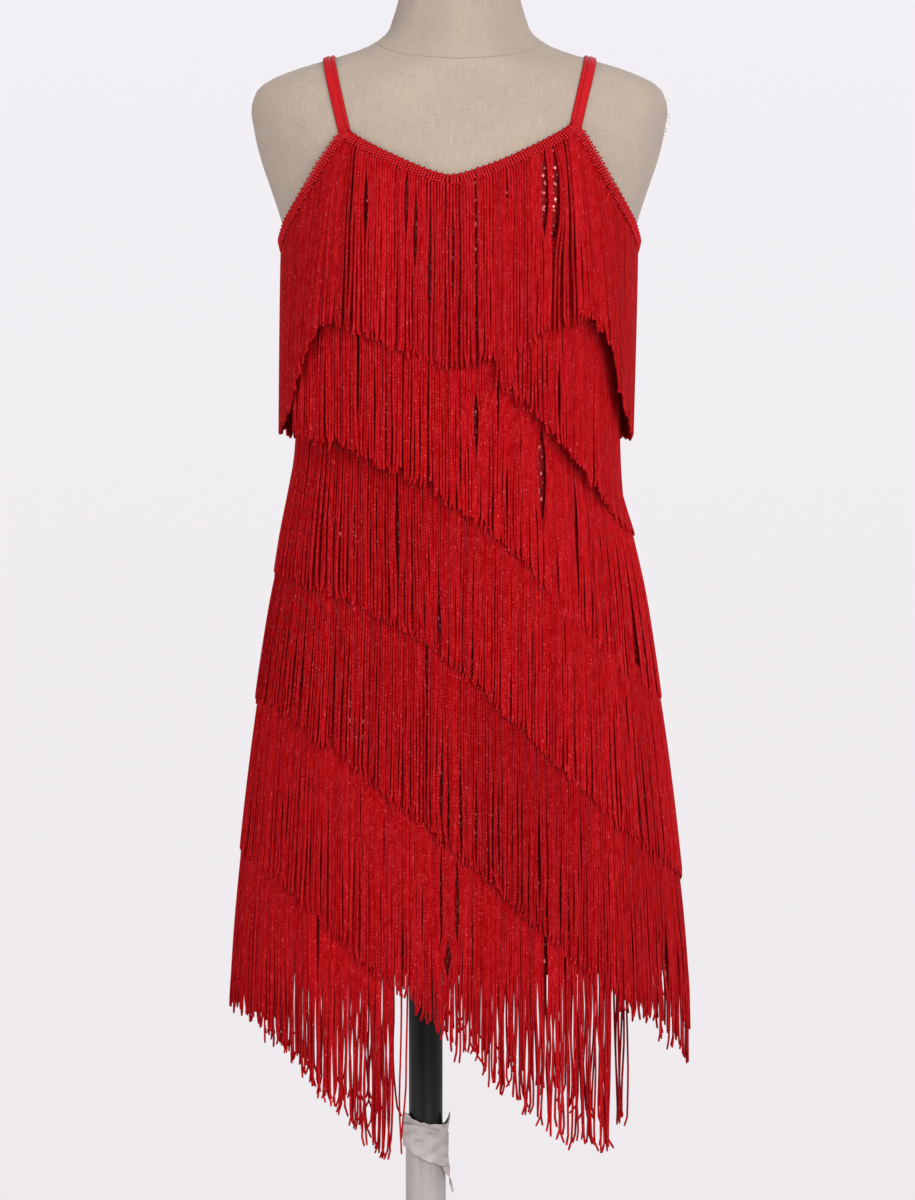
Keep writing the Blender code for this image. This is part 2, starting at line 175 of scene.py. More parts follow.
floor_paint, tree, shader = new_finish("floor_paint", 0.8, 0.2)
floor_stops = ((0.3, (0.68, 0.66, 0.68)), (0.7, (0.71, 0.69, 0.71)))
painted(tree, shader, cloudiness(tree, object_place(tree), 1.4), floor_stops)
floor_mesh = bpy.data.meshes.new("floor")
worked(
    floor_mesh,
    lambda bm: bmesh.ops.create_circle(bm, cap_ends=True, radius=FLOOR_R, segments=128),
)
floor = add_piece("floor", floor_mesh, floor_paint, smooth=False)

# ---------------------------------------------------------------- the dress form
# A padded body covered in undyed linen, stretched smooth and sewn round the neck. Its
# rings are rounded boxes that follow a table of half width and depth to front and back.
TORSO_X = 0.029
FORM_BOTTOM_Z = 0.700
SQUARENESS = 2.15
SECTION_COLUMNS = ("z", "half_width", "front", "back", "ease")
SECTIONS = (
    (0.600, 0.1610, 0.0980, 0.1120, 0.0300),
    (0.660, 0.1625, 0.0985, 0.1140, 0.0250),
    (0.720, 0.1635, 0.0990, 0.1155, 0.0190),
    (0.780, 0.1640, 0.0995, 0.1170, 0.0125),
    (0.840, 0.1635, 0.1000, 0.1180, 0.0060),
    (0.890, 0.1605, 0.0995, 0.1165, 0.0024),
    (0.940, 0.1535, 0.0970, 0.1080, 0.0018),
    (0.985, 0.1440, 0.0955, 0.0960, 0.0018),
    (1.030, 0.1340, 0.0955, 0.0850, 0.0018),
    (1.070, 0.1285, 0.0970, 0.0810, 0.0018),
    (1.110, 0.1295, 0.1010, 0.0820, 0.0018),
    (1.150, 0.1345, 0.1075, 0.0870, 0.0018),
    (1.190, 0.1405, 0.1140, 0.0925, 0.0026),
    (1.225, 0.1450, 0.1170, 0.0980, 0.0026),
    (1.260, 0.1535, 0.1150, 0.1010, 0.0026),
    (1.286, 0.1620, 0.1085, 0.1020, 0.0026),
    (1.311, 0.1705, 0.1010, 0.1010, 0.0026),
    (1.337, 0.1765, 0.0920, 0.0980, 0.0026),
    (1.360, 0.1780, 0.0840, 0.0920, 0.0026),
    (1.377, 0.1670, 0.0780, 0.0860, 0.0026),
    (1.389, 0.1390, 0.0730, 0.0810, 0.0026),
    (1.397, 0.1115, 0.0700, 0.0780, 0.0026),
    (1.405, 0.0860, 0.0670, 0.0740, 0.0026),
    (1.412, 0.0720, 0.0640, 0.0700, 0.0026),
    (1.420, 0.0625, 0.0600, 0.0660, 0.0026),
    (1.432, 0.0575, 0.0560, 0.0610, 0.0026),
    (1.449, 0.0525, 0.0520, 0.0570, 0.0026),
    (1.470, 0.0500, 0.0500, 0.0540, 0.0026),
)
SECTION = {name: np.array(values) for name, values in zip(SECTION_COLUMNS, zip(*SECTIONS))}
FORM_COLUMNS = 128
FORM_ROWS = 120
# Both ends are rounded: heights of the last rings, how far in they lie, and the rings of
# the flat caps, as shares of the last ring's size.
FOOT_Z = (0.7002, 0.7014, 0.7040)
FOOT_INSET = (0.0070, 0.0032, 0.0008)
CROWN_Z = (1.4666, 1.4690, 1.4700)
CROWN_INSET = (0.0006, 0.0020, 0.0055)
CAP_RINGS = (0.85, 0.4, 0.02)
FORM_UV_R = 0.15  # the weave is laid out round a circle of this size
NECK_SEAM = (1.3925, 1.4120)  # height at the front's middle, and at the sides and back
SEAM_DIP = 0.004  # how much lower it is at the back's middle
SEAM_R = 0.00045
LOOSE_THREADS = 16
THREAD_R = 0.00016
LINEN = (0.315, 0.260, 0.210)
LINEN_SHADE = (0.248, 0.201, 0.158)
LINEN_FLECK = (0.180, 0.133, 0.098)


def smooth_read(stations, values, at):
    """Reads a smooth curve through the values at their stations, which ascend."""
    stations = np.asarray(stations, float)
    values = np.asarray(values, float)
    at = np.clip(at, stations[0], stations[-1])
    i = np.clip(np.searchsorted(stations, at) - 1, 0, len(stations) - 2)
    slopes = np.gradient(values, stations)
    span = stations[i + 1] - stations[i]
    t = (at - stations[i]) / span
    curve = (1 + 2 * t) * (1 - t) ** 2 * values[i] + t * t * (3 - 2 * t) * values[i + 1]
    return curve + span * t * (1 - t) * ((1 - t) * slopes[i] - t * slopes[i + 1])


def body_size(name, z):
    """One size of the body's cross-section at height z."""
    return smooth_read(SECTION["z"], SECTION[name], z)


def powered(value, power):
    return np.sign(value) * np.abs(value) ** power


def ring_points(angle, z, half_width, depth, out):
    """Points at angles on cross-sections of these sizes, moved straight out of them."""
    angle, z, half_width, depth, out = np.broadcast_arrays(angle, z, half_width, depth, out)
    x = half_width * powered(np.cos(angle), 2 / SQUARENESS)
    y = depth * powered(np.sin(angle), 2 / SQUARENESS)
    normal_x = powered(x / half_width, SQUARENESS - 1) / half_width
    normal_y = powered(y / depth, SQUARENESS - 1) / depth
    length = np.hypot(normal_x, normal_y)
    x = TORSO_X + x + out * normal_x / length
    return np.stack((x, y + out * normal_y / length, z), axis=-1)


def body_depth(angle, z):
    return np.where(np.sin(angle) < 0, body_size("front", z), body_size("back", z))


def body_points(angle, z, out=0.0):
    return ring_points(angle, z, body_size("half_width", z), body_depth(angle, z), out)


def path_run(line):
    """How far along a line each of its points is."""
    return np.concatenate(((0.0,), np.cumsum(np.linalg.norm(np.diff(line, axis=0), axis=1))))


def grid_mesh(name, points, u, v, around=False):
    """A mesh through rows of points, lowest first, with cloth coordinates in metres. The
    points of a row run counter-clockwise, so that the faces look outwards."""
    rows, columns = points.shape[:2]
    across = np.arange(columns if around else columns - 1)
    r, c = np.meshgrid(np.arange(rows - 1), across, indexing="ij")
    after = (c + 1) % columns
    corners = ((r, c), (r, after), (r + 1, after), (r + 1, c))
    faces = np.stack([row * columns + column for row, column in corners], axis=-1)
    mesh = bpy.data.meshes.new(name)
    mesh.from_pydata(points.reshape(-1, 3).tolist(), [], faces.reshape(-1, 4).tolist())
    layer = mesh.uv_layers.new(name="cloth")
    spots = ((r, c), (r, c + 1), (r + 1, c + 1), (r + 1, c))
    places = np.stack([np.stack((u[spot], v[spot]), axis=-1) for spot in spots], axis=2)
    layer.data.foreach_set("uv", places.reshape(-1))
    return mesh


def level_rows(low, high, count):
    """Heights that are evenly spaced along the body's side and front together."""
    fine = np.linspace(low, high, 1500)
    run = np.zeros(len(fine))
    for name in ("half_width", "front", "back"):
        run[1:] += np.cumsum(np.hypot(np.diff(body_size(name, fine)), np.diff(fine)))
    return np.interp(np.linspace(0.0, run[-1], count), run, fine)


def fill_ends(bm):
    bmesh.ops.holes_fill(bm, edges=[edge for edge in bm.edges if edge.is_boundary])


def maths(tree, operation, *values):
    return node(tree, "ShaderNodeMath", dict(enumerate(values)), operation=operation)


def tinted(colour, amount):
    return [value * amount for value in colour]


def bumped(tree, shader, height, distance, strength=1.0):
    relief = {"Height": height, "Distance": distance, "Strength": strength}
    tree.links.new(node(tree, "ShaderNodeBump", relief), shader.inputs["Normal"])


def cloth_place(tree):
    return node(tree, "ShaderNodeUVMap", out="UV", uv_map="cloth")


def waves(tree, place, scale, distortion, way="X", detail=2.0):
    inputs = {"Vector": place, "Scale": scale, "Distortion": distortion, "Detail": detail}
    return node(tree, "ShaderNodeTexWave", inputs, out="Fac", bands_direction=way)


def linen_finish(name, tone):
    """Plain-woven linen with slubs both ways."""
    made, tree, shader = new_finish(name, 0.92, 0.15)
    place = cloth_place(tree)
    across = cloudiness(tree, place, 1.0, (95.0, 620.0, 1.0), 4.0)
    upright = cloudiness(tree, place, 1.0, (560.0, 62.0, 1.0), 4.0)
    sparse = cloudiness(tree, place, 1.0, (110.0, 700.0, 1.0), 1.0)
    clouds = cloudiness(tree, place, 16.0, detail=5.0)
    base = tinted(LINEN, tone)
    dull, bright = (
        [value * tint for value, tint in zip(base, tints)]
        for tints in ((0.92, 0.91, 0.93), (1.06, 1.05, 1.01))
    )
    colour = mix(tree, spread(tree, clouds, 0.3, 0.7), dull, bright)
    for value, low, high, laid_over in (
        (upright, 0.42, 0.22, tinted(base, 1.22)),
        (across, 0.56, 0.90, tinted(LINEN_SHADE, tone)),
        (upright, 0.56, 0.88, tinted(LINEN_SHADE, tone)),
        (sparse, 0.71, 0.80, tinted(LINEN_FLECK, tone)),
    ):
        colour = mix(tree, spread(tree, value, low, high), colour, laid_over)
    tree.links.new(colour, shader.inputs["Base Color"])
    weave = maths(tree, "MULTIPLY", *(waves(tree, place, 380.0, 1.2, way, 1.0) for way in "XY"))
    height = maths(tree, "ADD", weave, maths(tree, "MULTIPLY", across, 1.4))
    bumped(tree, shader, maths(tree, "ADD", height, upright), 0.00025, 0.7)
    shader.inputs["Sheen Weight"].default_value = 0.12
    return made


linen = linen_finish("linen_cover", 1.0)
linen_dark = linen_finish("linen_seam", 0.80)

form_angles = np.linspace(-math.pi, math.pi, FORM_COLUMNS, endpoint=False)
form_z = level_rows(FORM_BOTTOM_Z, SECTION["z"][-1], FORM_ROWS)[2:-2]
form_inset = np.concatenate((FOOT_INSET, np.zeros(len(form_z)), CROWN_INSET))
form_z = np.concatenate((FOOT_Z, form_z, CROWN_Z))
form_rows = body_points(form_angles[None, :], form_z[:, None], -form_inset[:, None])
caps = []
for ring, level in ((form_rows[0], FORM_BOTTOM_Z), (form_rows[-1], SECTION["z"][-1])):
    middle = np.array((TORSO_X, 0.0, level))
    caps.append([middle + (ring - middle) * np.array((k, k, 1.0)) for k in CAP_RINGS])
form_rows = np.concatenate((np.array(caps[0][::-1]), form_rows, np.array(caps[1])))
unrolled = np.linspace(-math.pi, math.pi, FORM_COLUMNS + 1) * FORM_UV_R
form_u, form_v = np.meshgrid(unrolled, path_run(form_rows[:, FORM_COLUMNS // 4]))
form_mesh = grid_mesh("linen_form", form_rows, form_u, form_v, around=True)
worked(form_mesh, fill_ends)
form = add_piece("linen_form", form_mesh, linen)
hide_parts("form_torso")
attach(form, "root")


def tube(name, lines, radius, material, sides=6, closed=False):
    """Round threads through lines of points, all of one piece."""
    curve = bpy.data.curves.new(name, "CURVE")
    curve.dimensions = "3D"
    curve.bevel_depth = radius
    curve.bevel_resolution = max(sides // 2 - 2, 0)
    curve.use_fill_caps = not closed
    for line in lines:
        spline = curve.splines.new("POLY")
        spline.points.add(len(line) - 1)
        flat = np.concatenate((np.asarray(line), np.ones((len(line), 1))), axis=1)
        spline.points.foreach_set("co", flat.ravel())
        spline.use_cyclic_u = closed
        if not closed:
            spline.points[0].radius = 0.6
            spline.points[-1].radius = 0.6
    holder = bpy.data.objects.new(name, curve)
    scene.collection.objects.link(holder)
    bpy.context.view_layer.update()
    graph = bpy.context.evaluated_depsgraph_get()
    mesh = bpy.data.meshes.new_from_object(holder.evaluated_get(graph), depsgraph=graph)
    bpy.data.objects.remove(holder)
    mesh.name = name
    return add_piece(name, mesh, material)


seam_angles = np.linspace(-math.pi, math.pi, 120, endpoint=False)
seam_share = np.abs(np.cos(seam_angles)) ** 1.6
seam_z = np.where(
    np.sin(seam_angles) < 0,
    NECK_SEAM[0] + (NECK_SEAM[1] - NECK_SEAM[0]) * seam_share,
    NECK_SEAM[1] - SEAM_DIP * (1 - seam_share),
)
seam_line = body_points(seam_angles, seam_z, 0.00005)
neck_seam = tube("neck_seam", [seam_line], SEAM_R, linen_dark, closed=True)
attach(neck_seam, "root")

chance = np.random.default_rng(11)
steps = np.linspace(0.0, 1.0, 6)[:, None]
threads = []
for _ in range(LOOSE_THREADS):
    angle = math.radians(chance.uniform(-14, 12))
    root = body_points(angle, chance.uniform(1.325, 1.367))
    out = np.array((chance.uniform(0.4, 1.0), chance.uniform(-0.5, 0.1), 0.0))
    reach = chance.uniform(0.002, 0.006)
    droop = np.array((0.0, 0.0, 1.0)) * chance.uniform(-0.9, 0.9)
    threads.append(root + out * reach * steps + droop * reach * steps**2)
loose_threads = tube("loose_linen_threads", threads, THREAD_R, linen, sides=4)
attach(loose_threads, "root")

# ---------------------------------------------------------------- the stand
# A black steel tube slides in a wider grey one, which stands in the collar of a round
# painted base. Each is a turned piece with its edges broken.
UPPER_POLE_R = 0.0145
LOWER_POLE_R = 0.0172
POLE_BORE_R = 0.0150
LOWER_POLE_TOP_Z = 0.476
BORE_FLOOR_Z = 0.416
SEAM_GAP = 0.0003
SOCKET_R = LOWER_POLE_R + SEAM_GAP
SOCKET_FLOOR_Z = 0.016
BASE_R = 0.165
BASE_HEIGHT = 0.008
COLLAR_R = 0.030
COLLAR_TOP_Z = 0.046
TURNED_STEPS = 72
TURNED_UV_R = 0.015
TURNED_SHARP = math.radians(35)  # edges that turn further than this stay crisp


def turned(name, profile, material):
    """A piece turned about the pole's axis from (radius, height) points, from the lowest
    point on the axis outwards and up."""
    angles = np.linspace(0.0, 2 * math.pi, TURNED_STEPS, endpoint=False)
    profile = np.array(profile)
    radius, height = profile[:, :1], profile[:, 1:]
    across, level = radius * np.cos(angles), height * np.ones(TURNED_STEPS)
    points = np.stack((across, radius * np.sin(angles), level), axis=-1)
    unrolled = np.linspace(0.0, 2 * math.pi, TURNED_STEPS + 1) * TURNED_UV_R
    mesh = grid_mesh(name, points, *np.meshgrid(unrolled, path_run(profile)), around=True)
    worked(mesh, lambda bm: bmesh.ops.remove_doubles(bm, verts=bm.verts, dist=0.00001))
    mesh.shade_smooth()
    mesh.set_sharp_from_angle(angle=TURNED_SHARP)
    return add_piece(name, mesh, material, smooth=False)


BLACKS = ((0.30, (0.0025, 0.002, 0.002)), (0.46, (0.011, 0.0105, 0.010)), (0.66, (0.055, 0.052, 0.050)))
black_paint, tree, shader = new_finish("black_pole_paint", 0.32, 0.22)
place = object_place(tree)
scuffs = cloudiness(tree, place, 60.0, (1.0, 1.0, 0.12), 6.0)
scratches = cloudiness(tree, place, 190.0, (1.0, 1.0, 0.03), 3.0)
painted(tree, shader, maths(tree, "MULTIPLY", scuffs, scratches), BLACKS)
tree.links.new(spread(tree, scuffs, to_low=0.22, to_high=0.62), shader.inputs["Roughness"])
bumped(tree, shader, scratches, 0.0001, 0.4)

GREYS = ((0.42, (0.220, 0.196, 0.189)), (0.62, (0.292, 0.260, 0.253)), (0.85, (0.341, 0.304, 0.297)))
grey_paint, tree, shader = new_finish("grey_pole_paint", 0.42, 0.3)
place = object_place(tree)
clouds = cloudiness(tree, place, 45.0, (1.0, 1.0, 0.2), 5.0)
marks = cloudiness(tree, place, 240.0, (1.0, 1.0, 0.05), 2.0)
painted(tree, shader, maths(tree, "ADD", clouds, maths(tree, "MULTIPLY", marks, 0.3)), GREYS)
bumped(tree, shader, marks, 0.0001, 0.3)

BASE_GREYS = ((0.35, (0.022, 0.022, 0.023)), (0.7, (0.038, 0.037, 0.036)))
base_paint, tree, shader = new_finish("base_paint", 0.5)
place = object_place(tree)
painted(tree, shader, cloudiness(tree, place, 14.0, detail=5.0), BASE_GREYS)
bumped(tree, shader, cloudiness(tree, place, 900.0), 0.00015, 0.5)

upper_pole = turned(
    "upper_pole_tube",
    (
        (0.0, BORE_FLOOR_Z + SEAM_GAP),
        (UPPER_POLE_R - 0.001, BORE_FLOOR_Z + SEAM_GAP),
        (UPPER_POLE_R, BORE_FLOOR_Z + 0.001),
        (UPPER_POLE_R, FORM_BOTTOM_Z - SEAM_GAP),
        (0.0, FORM_BOTTOM_Z - SEAM_GAP),
    ),
    black_paint,
)
lower_pole = turned(
    "lower_pole_tube",
    (
        (0.0, SOCKET_FLOOR_Z + SEAM_GAP),
        (LOWER_POLE_R, SOCKET_FLOOR_Z + SEAM_GAP),
        (LOWER_POLE_R, LOWER_POLE_TOP_Z - 0.0005),
        (LOWER_POLE_R - 0.0005, LOWER_POLE_TOP_Z),
        (POLE_BORE_R + 0.0005, LOWER_POLE_TOP_Z),
        (POLE_BORE_R, LOWER_POLE_TOP_Z - 0.0005),
        (POLE_BORE_R, BORE_FLOOR_Z),
        (0.0, BORE_FLOOR_Z),
    ),
    grey_paint,
)
base_plate = turned(
    "base_disc",
    (
        (0.0, 0.0),
        (BASE_R - 0.0015, 0.0),
        (BASE_R, 0.0012),
        (BASE_R, 0.0045),
        (BASE_R - 0.0012, 0.0064),
        (BASE_R - 0.0040, BASE_HEIGHT - 0.0004),
        (BASE_R - 0.0100, BASE_HEIGHT),
        (COLLAR_R + 0.0040, BASE_HEIGHT),
        (COLLAR_R + 0.0012, BASE_HEIGHT + 0.0008),
        (COLLAR_R, BASE_HEIGHT + 0.0036),
        (COLLAR_R, COLLAR_TOP_Z - 0.0030),
        (COLLAR_R - 0.0010, COLLAR_TOP_Z - 0.0010),
        (COLLAR_R - 0.0030, COLLAR_TOP_Z),
        (SOCKET_R + 0.0006, COLLAR_TOP_Z),
        (SOCKET_R, COLLAR_TOP_Z - 0.0006),
        (SOCKET_R, SOCKET_FLOOR_Z),
        (0.0, SOCKET_FLOOR_Z),
    ),
    base_paint,
)
for piece, node_name, slot in (
    (upper_pole, "pole_upper", "black_pole"),
    (lower_pole, "pole_lower", "grey_pole"),
    (base_plate, "base_plate", "base_paint"),
):
    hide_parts(node_name)
    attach(piece, "root")

# ---------------------------------------------------------------- the tape round the joint
# White tape is wound a few times round the tubes' joint. Its upper turn is creased and
# stands open on one side, its lower edge was torn at a slant, and a shred hangs from it.
TAPE_R = 0.0177
TAPE_THICK = 0.0005
TAPE_COLUMNS = 120
TAPE_ROWS = 26
SHRED_ROWS = 22
SHRED_COLUMNS = 5
WHITES = ((0.26, (0.230, 0.198, 0.182)), (0.46, (0.345, 0.306, 0.288)), (0.75, (0.430, 0.388, 0.368)))
white_tape, tree, shader = new_finish("white_tape", 0.45, 0.4)
place = cloth_place(tree)
painted(tree, shader, cloudiness(tree, place, 90.0, (1.0, 1.6, 1.0), 5.0), WHITES)
bumped(tree, shader, cloudiness(tree, place, 260.0, (0.5, 1.6, 1.0), 4.0), 0.0002, 0.3)


def walled(piece, thickness, offset=1.0):
    """Gives a sheet its thickness: outwards of its faces, or on both sides with no offset."""
    wall = piece.modifiers.new("wall", "SOLIDIFY")
    wall.thickness = thickness
    wall.offset = offset


def tape_turn(name, low_edge, high_edge, radius_at, seed):
    """One turn of tape between two edges, each a function of the angle, as its radius is."""
    rng = np.random.default_rng(seed)
    angles = np.linspace(-math.pi, math.pi, TAPE_COLUMNS, endpoint=False)
    share = np.linspace(0.0, 1.0, TAPE_ROWS)[:, None]
    low, high = low_edge(angles, rng), high_edge(angles, rng)
    z = low + (high - low) * share
    radius = radius_at(angles[None, :], z)
    points = np.stack((radius * np.cos(angles), radius * np.sin(angles), z), axis=-1)
    u = np.linspace(-math.pi, math.pi, TAPE_COLUMNS + 1) * TAPE_R * np.ones((TAPE_ROWS, 1))
    v = np.concatenate((z, z[:, :1]), axis=1)
    turn = add_piece(name, grid_mesh(name, points, u, v, around=True), white_tape)
    walled(turn, TAPE_THICK)
    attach(turn, "root")
    return turn


def torn(angles, rng, depth, teeth):
    """A ragged line round a turn of tape."""
    knots = rng.uniform(-1.0, 1.0, teeth)
    knots[-1] = knots[0]
    return depth * np.interp(angles, np.linspace(-math.pi, math.pi, teeth), knots)


def open_side(angles, middle, reach):
    gap = (angles - middle + math.pi) % (2 * math.pi) - math.pi
    return np.exp(-((gap / reach) ** 2))


tape_turn(
    "tape_inner_turn",
    lambda a, rng: 0.4665,
    lambda a, rng: 0.4835
    + 0.0095 * open_side(a, math.pi, 1.1)
    + 0.0100 * open_side(a, -0.12, 0.22)
    + torn(a, rng, 0.0011, 34),
    lambda a, z: TAPE_R
    + 0.0004 * np.sin(5 * a + 60 * z)
    + 0.0042 * open_side(a, -0.5, 0.55) * np.clip((z - 0.468) / 0.02, 0, 1) ** 1.5
    + 0.0007 * np.sin(9 * a + 2) * np.clip((z - 0.470) / 0.02, 0, 1),
    3,
)
outer_turn = tape_turn(
    "tape_outer_turn",
    lambda a, rng: 0.4555 - 0.0095 * np.cos(a + 0.25) + torn(a, rng, 0.0011, 46),
    lambda a, rng: 0.4800 + 0.0045 * np.sin(a - 1.9) + torn(a, rng, 0.0018, 26),
    lambda a, z: TAPE_R
    + 0.0011
    + 0.0005 * np.sin(4 * a - 90 * z)
    + 0.0034 * open_side(a, -2.4, 0.5) * np.clip((z - 0.466) / 0.02, 0, 1) ** 1.3
    + 0.0018 * open_side(a, -0.2, 0.4) * np.clip((0.456 - z) / 0.012, 0, 1),
    8,
)
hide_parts("pole_band")

share = np.linspace(0.0, 1.0, SHRED_ROWS)[:, None]
across = np.linspace(-1.0, 1.0, SHRED_COLUMNS)[None, :]
twist = 0.4 + 2.6 * share
width = 0.0034 * (1.05 - 0.75 * share)
shred_points = np.stack(
    (
        0.0172 + 0.0060 * share**0.8 + width * across * np.cos(twist),
        -0.0110 - 0.0030 * share + width * across * np.sin(twist),
        0.4475 - 0.0220 * share + 0.0012 * np.sin(9 * share) * across,
    ),
    axis=-1,
)
u, v = np.meshgrid(np.linspace(0, 0.006, SHRED_COLUMNS), np.linspace(0, 0.024, SHRED_ROWS))
shred = add_piece("tape_shred", grid_mesh("tape_shred", shred_points, u, v), white_tape)
walled(shred, TAPE_THICK, offset=0.0)
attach(shred, "root")

# ---------------------------------------------------------------- the dress's cloth
# Two panels of thin stretch knit, sewn up the sides, close to the body above and loose
# below the hips. They reach from the hem to the neckline and armholes.
HEM_Z = 0.618
SHELL = 0.0009
TOP_EDGE = (
    # share of the half width, height
    (0.00, 1.2895),
    (0.07, 1.2906),
    (0.15, 1.2946),
    (0.25, 1.3018),
    (0.38, 1.3132),
    (0.48, 1.3235),
    (0.54, 1.3319),
    (0.585, 1.3255),
    (0.64, 1.3140),
    (0.70, 1.3020),
    (0.77, 1.2873),
    (0.85, 1.2719),
    (0.94, 1.2551),
    (1.00, 1.2400),
)
TOP_AT, TOP_Z = np.transpose(TOP_EDGE)
RIGHT_RISE_AT = (-0.05, 0.09, 0.50, 0.60, 0.70, 1.00)
RIGHT_RISE = (0.0, 0.0048, 0.0055, 0.0046, 0.0016, 0.0)
BACK_EDGE_SIDE_Z = 1.240
BACK_EDGE_MIDDLE_Z = 1.225
WAIST_Z = 1.075
FOLDS_FROM_Z = 0.87
FOLD_DEPTH = 0.0060
CREASE_DEPTH = 0.0008
PANEL_COLUMNS = 96
PANEL_ROWS = 96
SIDE_GAP = 0.0012  # between the panels, as an angle
CLOTH_RED = (0.180, 0.001, 0.004)


def share_across(angle):
    return powered(np.cos(angle), 2 / SQUARENESS)


def top_edge_z(angle):
    """The height of the dress's upper edge at an angle. The front's right half is higher."""
    across = share_across(angle)
    front = np.interp(np.abs(across), TOP_AT, TOP_Z)
    front = front + np.interp(across, RIGHT_RISE_AT, RIGHT_RISE)
    back = BACK_EDGE_MIDDLE_Z + (BACK_EDGE_SIDE_Z - BACK_EDGE_MIDDLE_Z) * across**2
    return np.where(np.sin(angle) < -1e-9, front, back)


def trough(angle, z):
    """How far the cloth falls in: soft upright folds towards the hem, and short slanting
    creases at the waist."""
    loose = np.clip((FOLDS_FROM_Z - z) / 0.25, 0.0, 1.0) ** 1.4
    upright = (
        0.5
        + 0.27 * np.sin(7 * angle + 1.1 + 2.2 * z)
        + 0.15 * np.sin(12 * angle + 0.3 - 3.0 * z)
        + 0.08 * np.sin(19 * angle + 2.0)
    )
    waist = np.exp(-(((z - WAIST_Z) / 0.055) ** 2))
    slanting = 0.5 + 0.5 * np.sin(150 * z + 3.0 * np.sin(2 * angle + 0.7))
    return FOLD_DEPTH * loose * upright + CREASE_DEPTH * waist * slanting


def cloth_points(angle, z, out=0.0):
    """Points on the inner face of the cloth, or out of it."""
    return body_points(angle, z, body_size("ease", z) - trough(angle, z) + out)


knit, tree, shader = new_finish("sequin_cloth_knit", 0.7, 0.08)
place = cloth_place(tree)
ribs = waves(tree, place, 260.0, 0.6)
clouds = cloudiness(tree, place, 22.0, detail=4.0)
knit_stops = ((0.35, tinted(CLOTH_RED, 0.6)), (0.95, tinted(CLOTH_RED, 1.3)))
painted(tree, shader, maths(tree, "ADD", maths(tree, "MULTIPLY", ribs, 0.4), clouds), knit_stops)
bumped(tree, shader, ribs, 0.0003, 0.6)


def panel(name, start, end):
    """One panel's shell, from the hem to the top edge between two angles."""
    angles = np.linspace(start, end, PANEL_COLUMNS)
    share = np.linspace(0.0, 1.0, PANEL_ROWS)[:, None]
    z = HEM_Z + (top_edge_z(angles)[None, :] - HEM_Z) * share
    points = cloth_points(angles[None, :], z)
    middle = cloth_points(angles, np.full(PANEL_COLUMNS, 0.95))
    u = path_run(middle) * np.ones((PANEL_ROWS, 1))
    piece = add_piece(name, grid_mesh(name, points, u, z), knit)
    walled(piece, SHELL)
    return piece


front_cloth = panel("front_panel", -math.pi + SIDE_GAP, -SIDE_GAP)
back_cloth = panel("back_panel", SIDE_GAP, math.pi - SIDE_GAP)
for piece, node_name in ((front_cloth, "dress_front"), (back_cloth, "dress_back")):
    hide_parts(node_name)
    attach(piece, "root")

# ---------------------------------------------------------------- the sequins
# Small cupped discs of red film, sewn flat all over both panels in staggered rows. They
# show only where the fringe parts.
SEQUIN_R = 0.00275
SEQUIN_PITCH = (0.0078, 0.0072)
SEQUIN_STRAY = 0.0004
SEQUIN_EDGE = 0.004  # left free along the hem and the top edge
SEQUIN_SEAM = 0.02  # left free along the side seams, as an angle
SEQUIN_LIFT = 0.0006
LINE_STEPS = 400


def new_grower(name, inputs):
    """A geometry tree that takes places, named inputs as (name, kind, value), and a material."""
    tree = bpy.data.node_groups.new(name, "GeometryNodeTree")
    tree.interface.new_socket("Places", in_out="INPUT", socket_type="NodeSocketGeometry")
    for label, kind, value in (*inputs, ("Material", "Material", None)):
        socket = tree.interface.new_socket(label, in_out="INPUT", socket_type="NodeSocket" + kind)
        if value is not None:
            socket.default_value = value
    tree.interface.new_socket("Grown", in_out="OUTPUT", socket_type="NodeSocketGeometry")
    return tree, tree.nodes.new("NodeGroupInput").outputs, tree.nodes.new("NodeGroupOutput")


def lying(tree, main, second):
    """The turn that lays a shape's Z along one direction and its X towards another."""
    ways = {"Primary Axis": main, "Secondary Axis": second}
    return node(tree, "FunctionNodeAxesToRotation", ways, primary_axis="Z", secondary_axis="X")


def repeated(tree, places, shape, turn):
    """A shape at every place."""
    inputs = {"Points": places, "Instance": shape, "Rotation": turn}
    return node(tree, "GeometryNodeInstanceOnPoints", inputs)


def finished(tree, geometry, material, output):
    """Ends a tree: its instances made real, in one material."""
    real = node(tree, "GeometryNodeRealizeInstances", {"Geometry": geometry})
    dressed = node(tree, "GeometryNodeSetMaterial", {"Geometry": real, "Material": material})
    tree.links.new(dressed, output.inputs[0])


def attribute(tree, name, kind="FLOAT_VECTOR"):
    inputs = {"Name": name}
    return node(tree, "GeometryNodeInputNamedAttribute", inputs, out="Attribute", data_type=kind)


def surface_value(tree, name):
    return node(tree, "ShaderNodeAttribute", out="Fac", attribute_name=name)


def places_mesh(name, points, edges=(), **attributes):
    """Loose points, or lines of them, that carry named values."""
    mesh = bpy.data.meshes.new(name)
    mesh.from_pydata(points.reshape(-1, 3).tolist(), edges, [])
    for label, values in attributes.items():
        vector = values.ndim > 1 and values.shape[-1] == 3
        layer = mesh.attributes.new(label, "FLOAT_VECTOR" if vector else "FLOAT", "POINT")
        layer.data.foreach_set("vector" if vector else "value", values.astype(float).ravel())
    return mesh


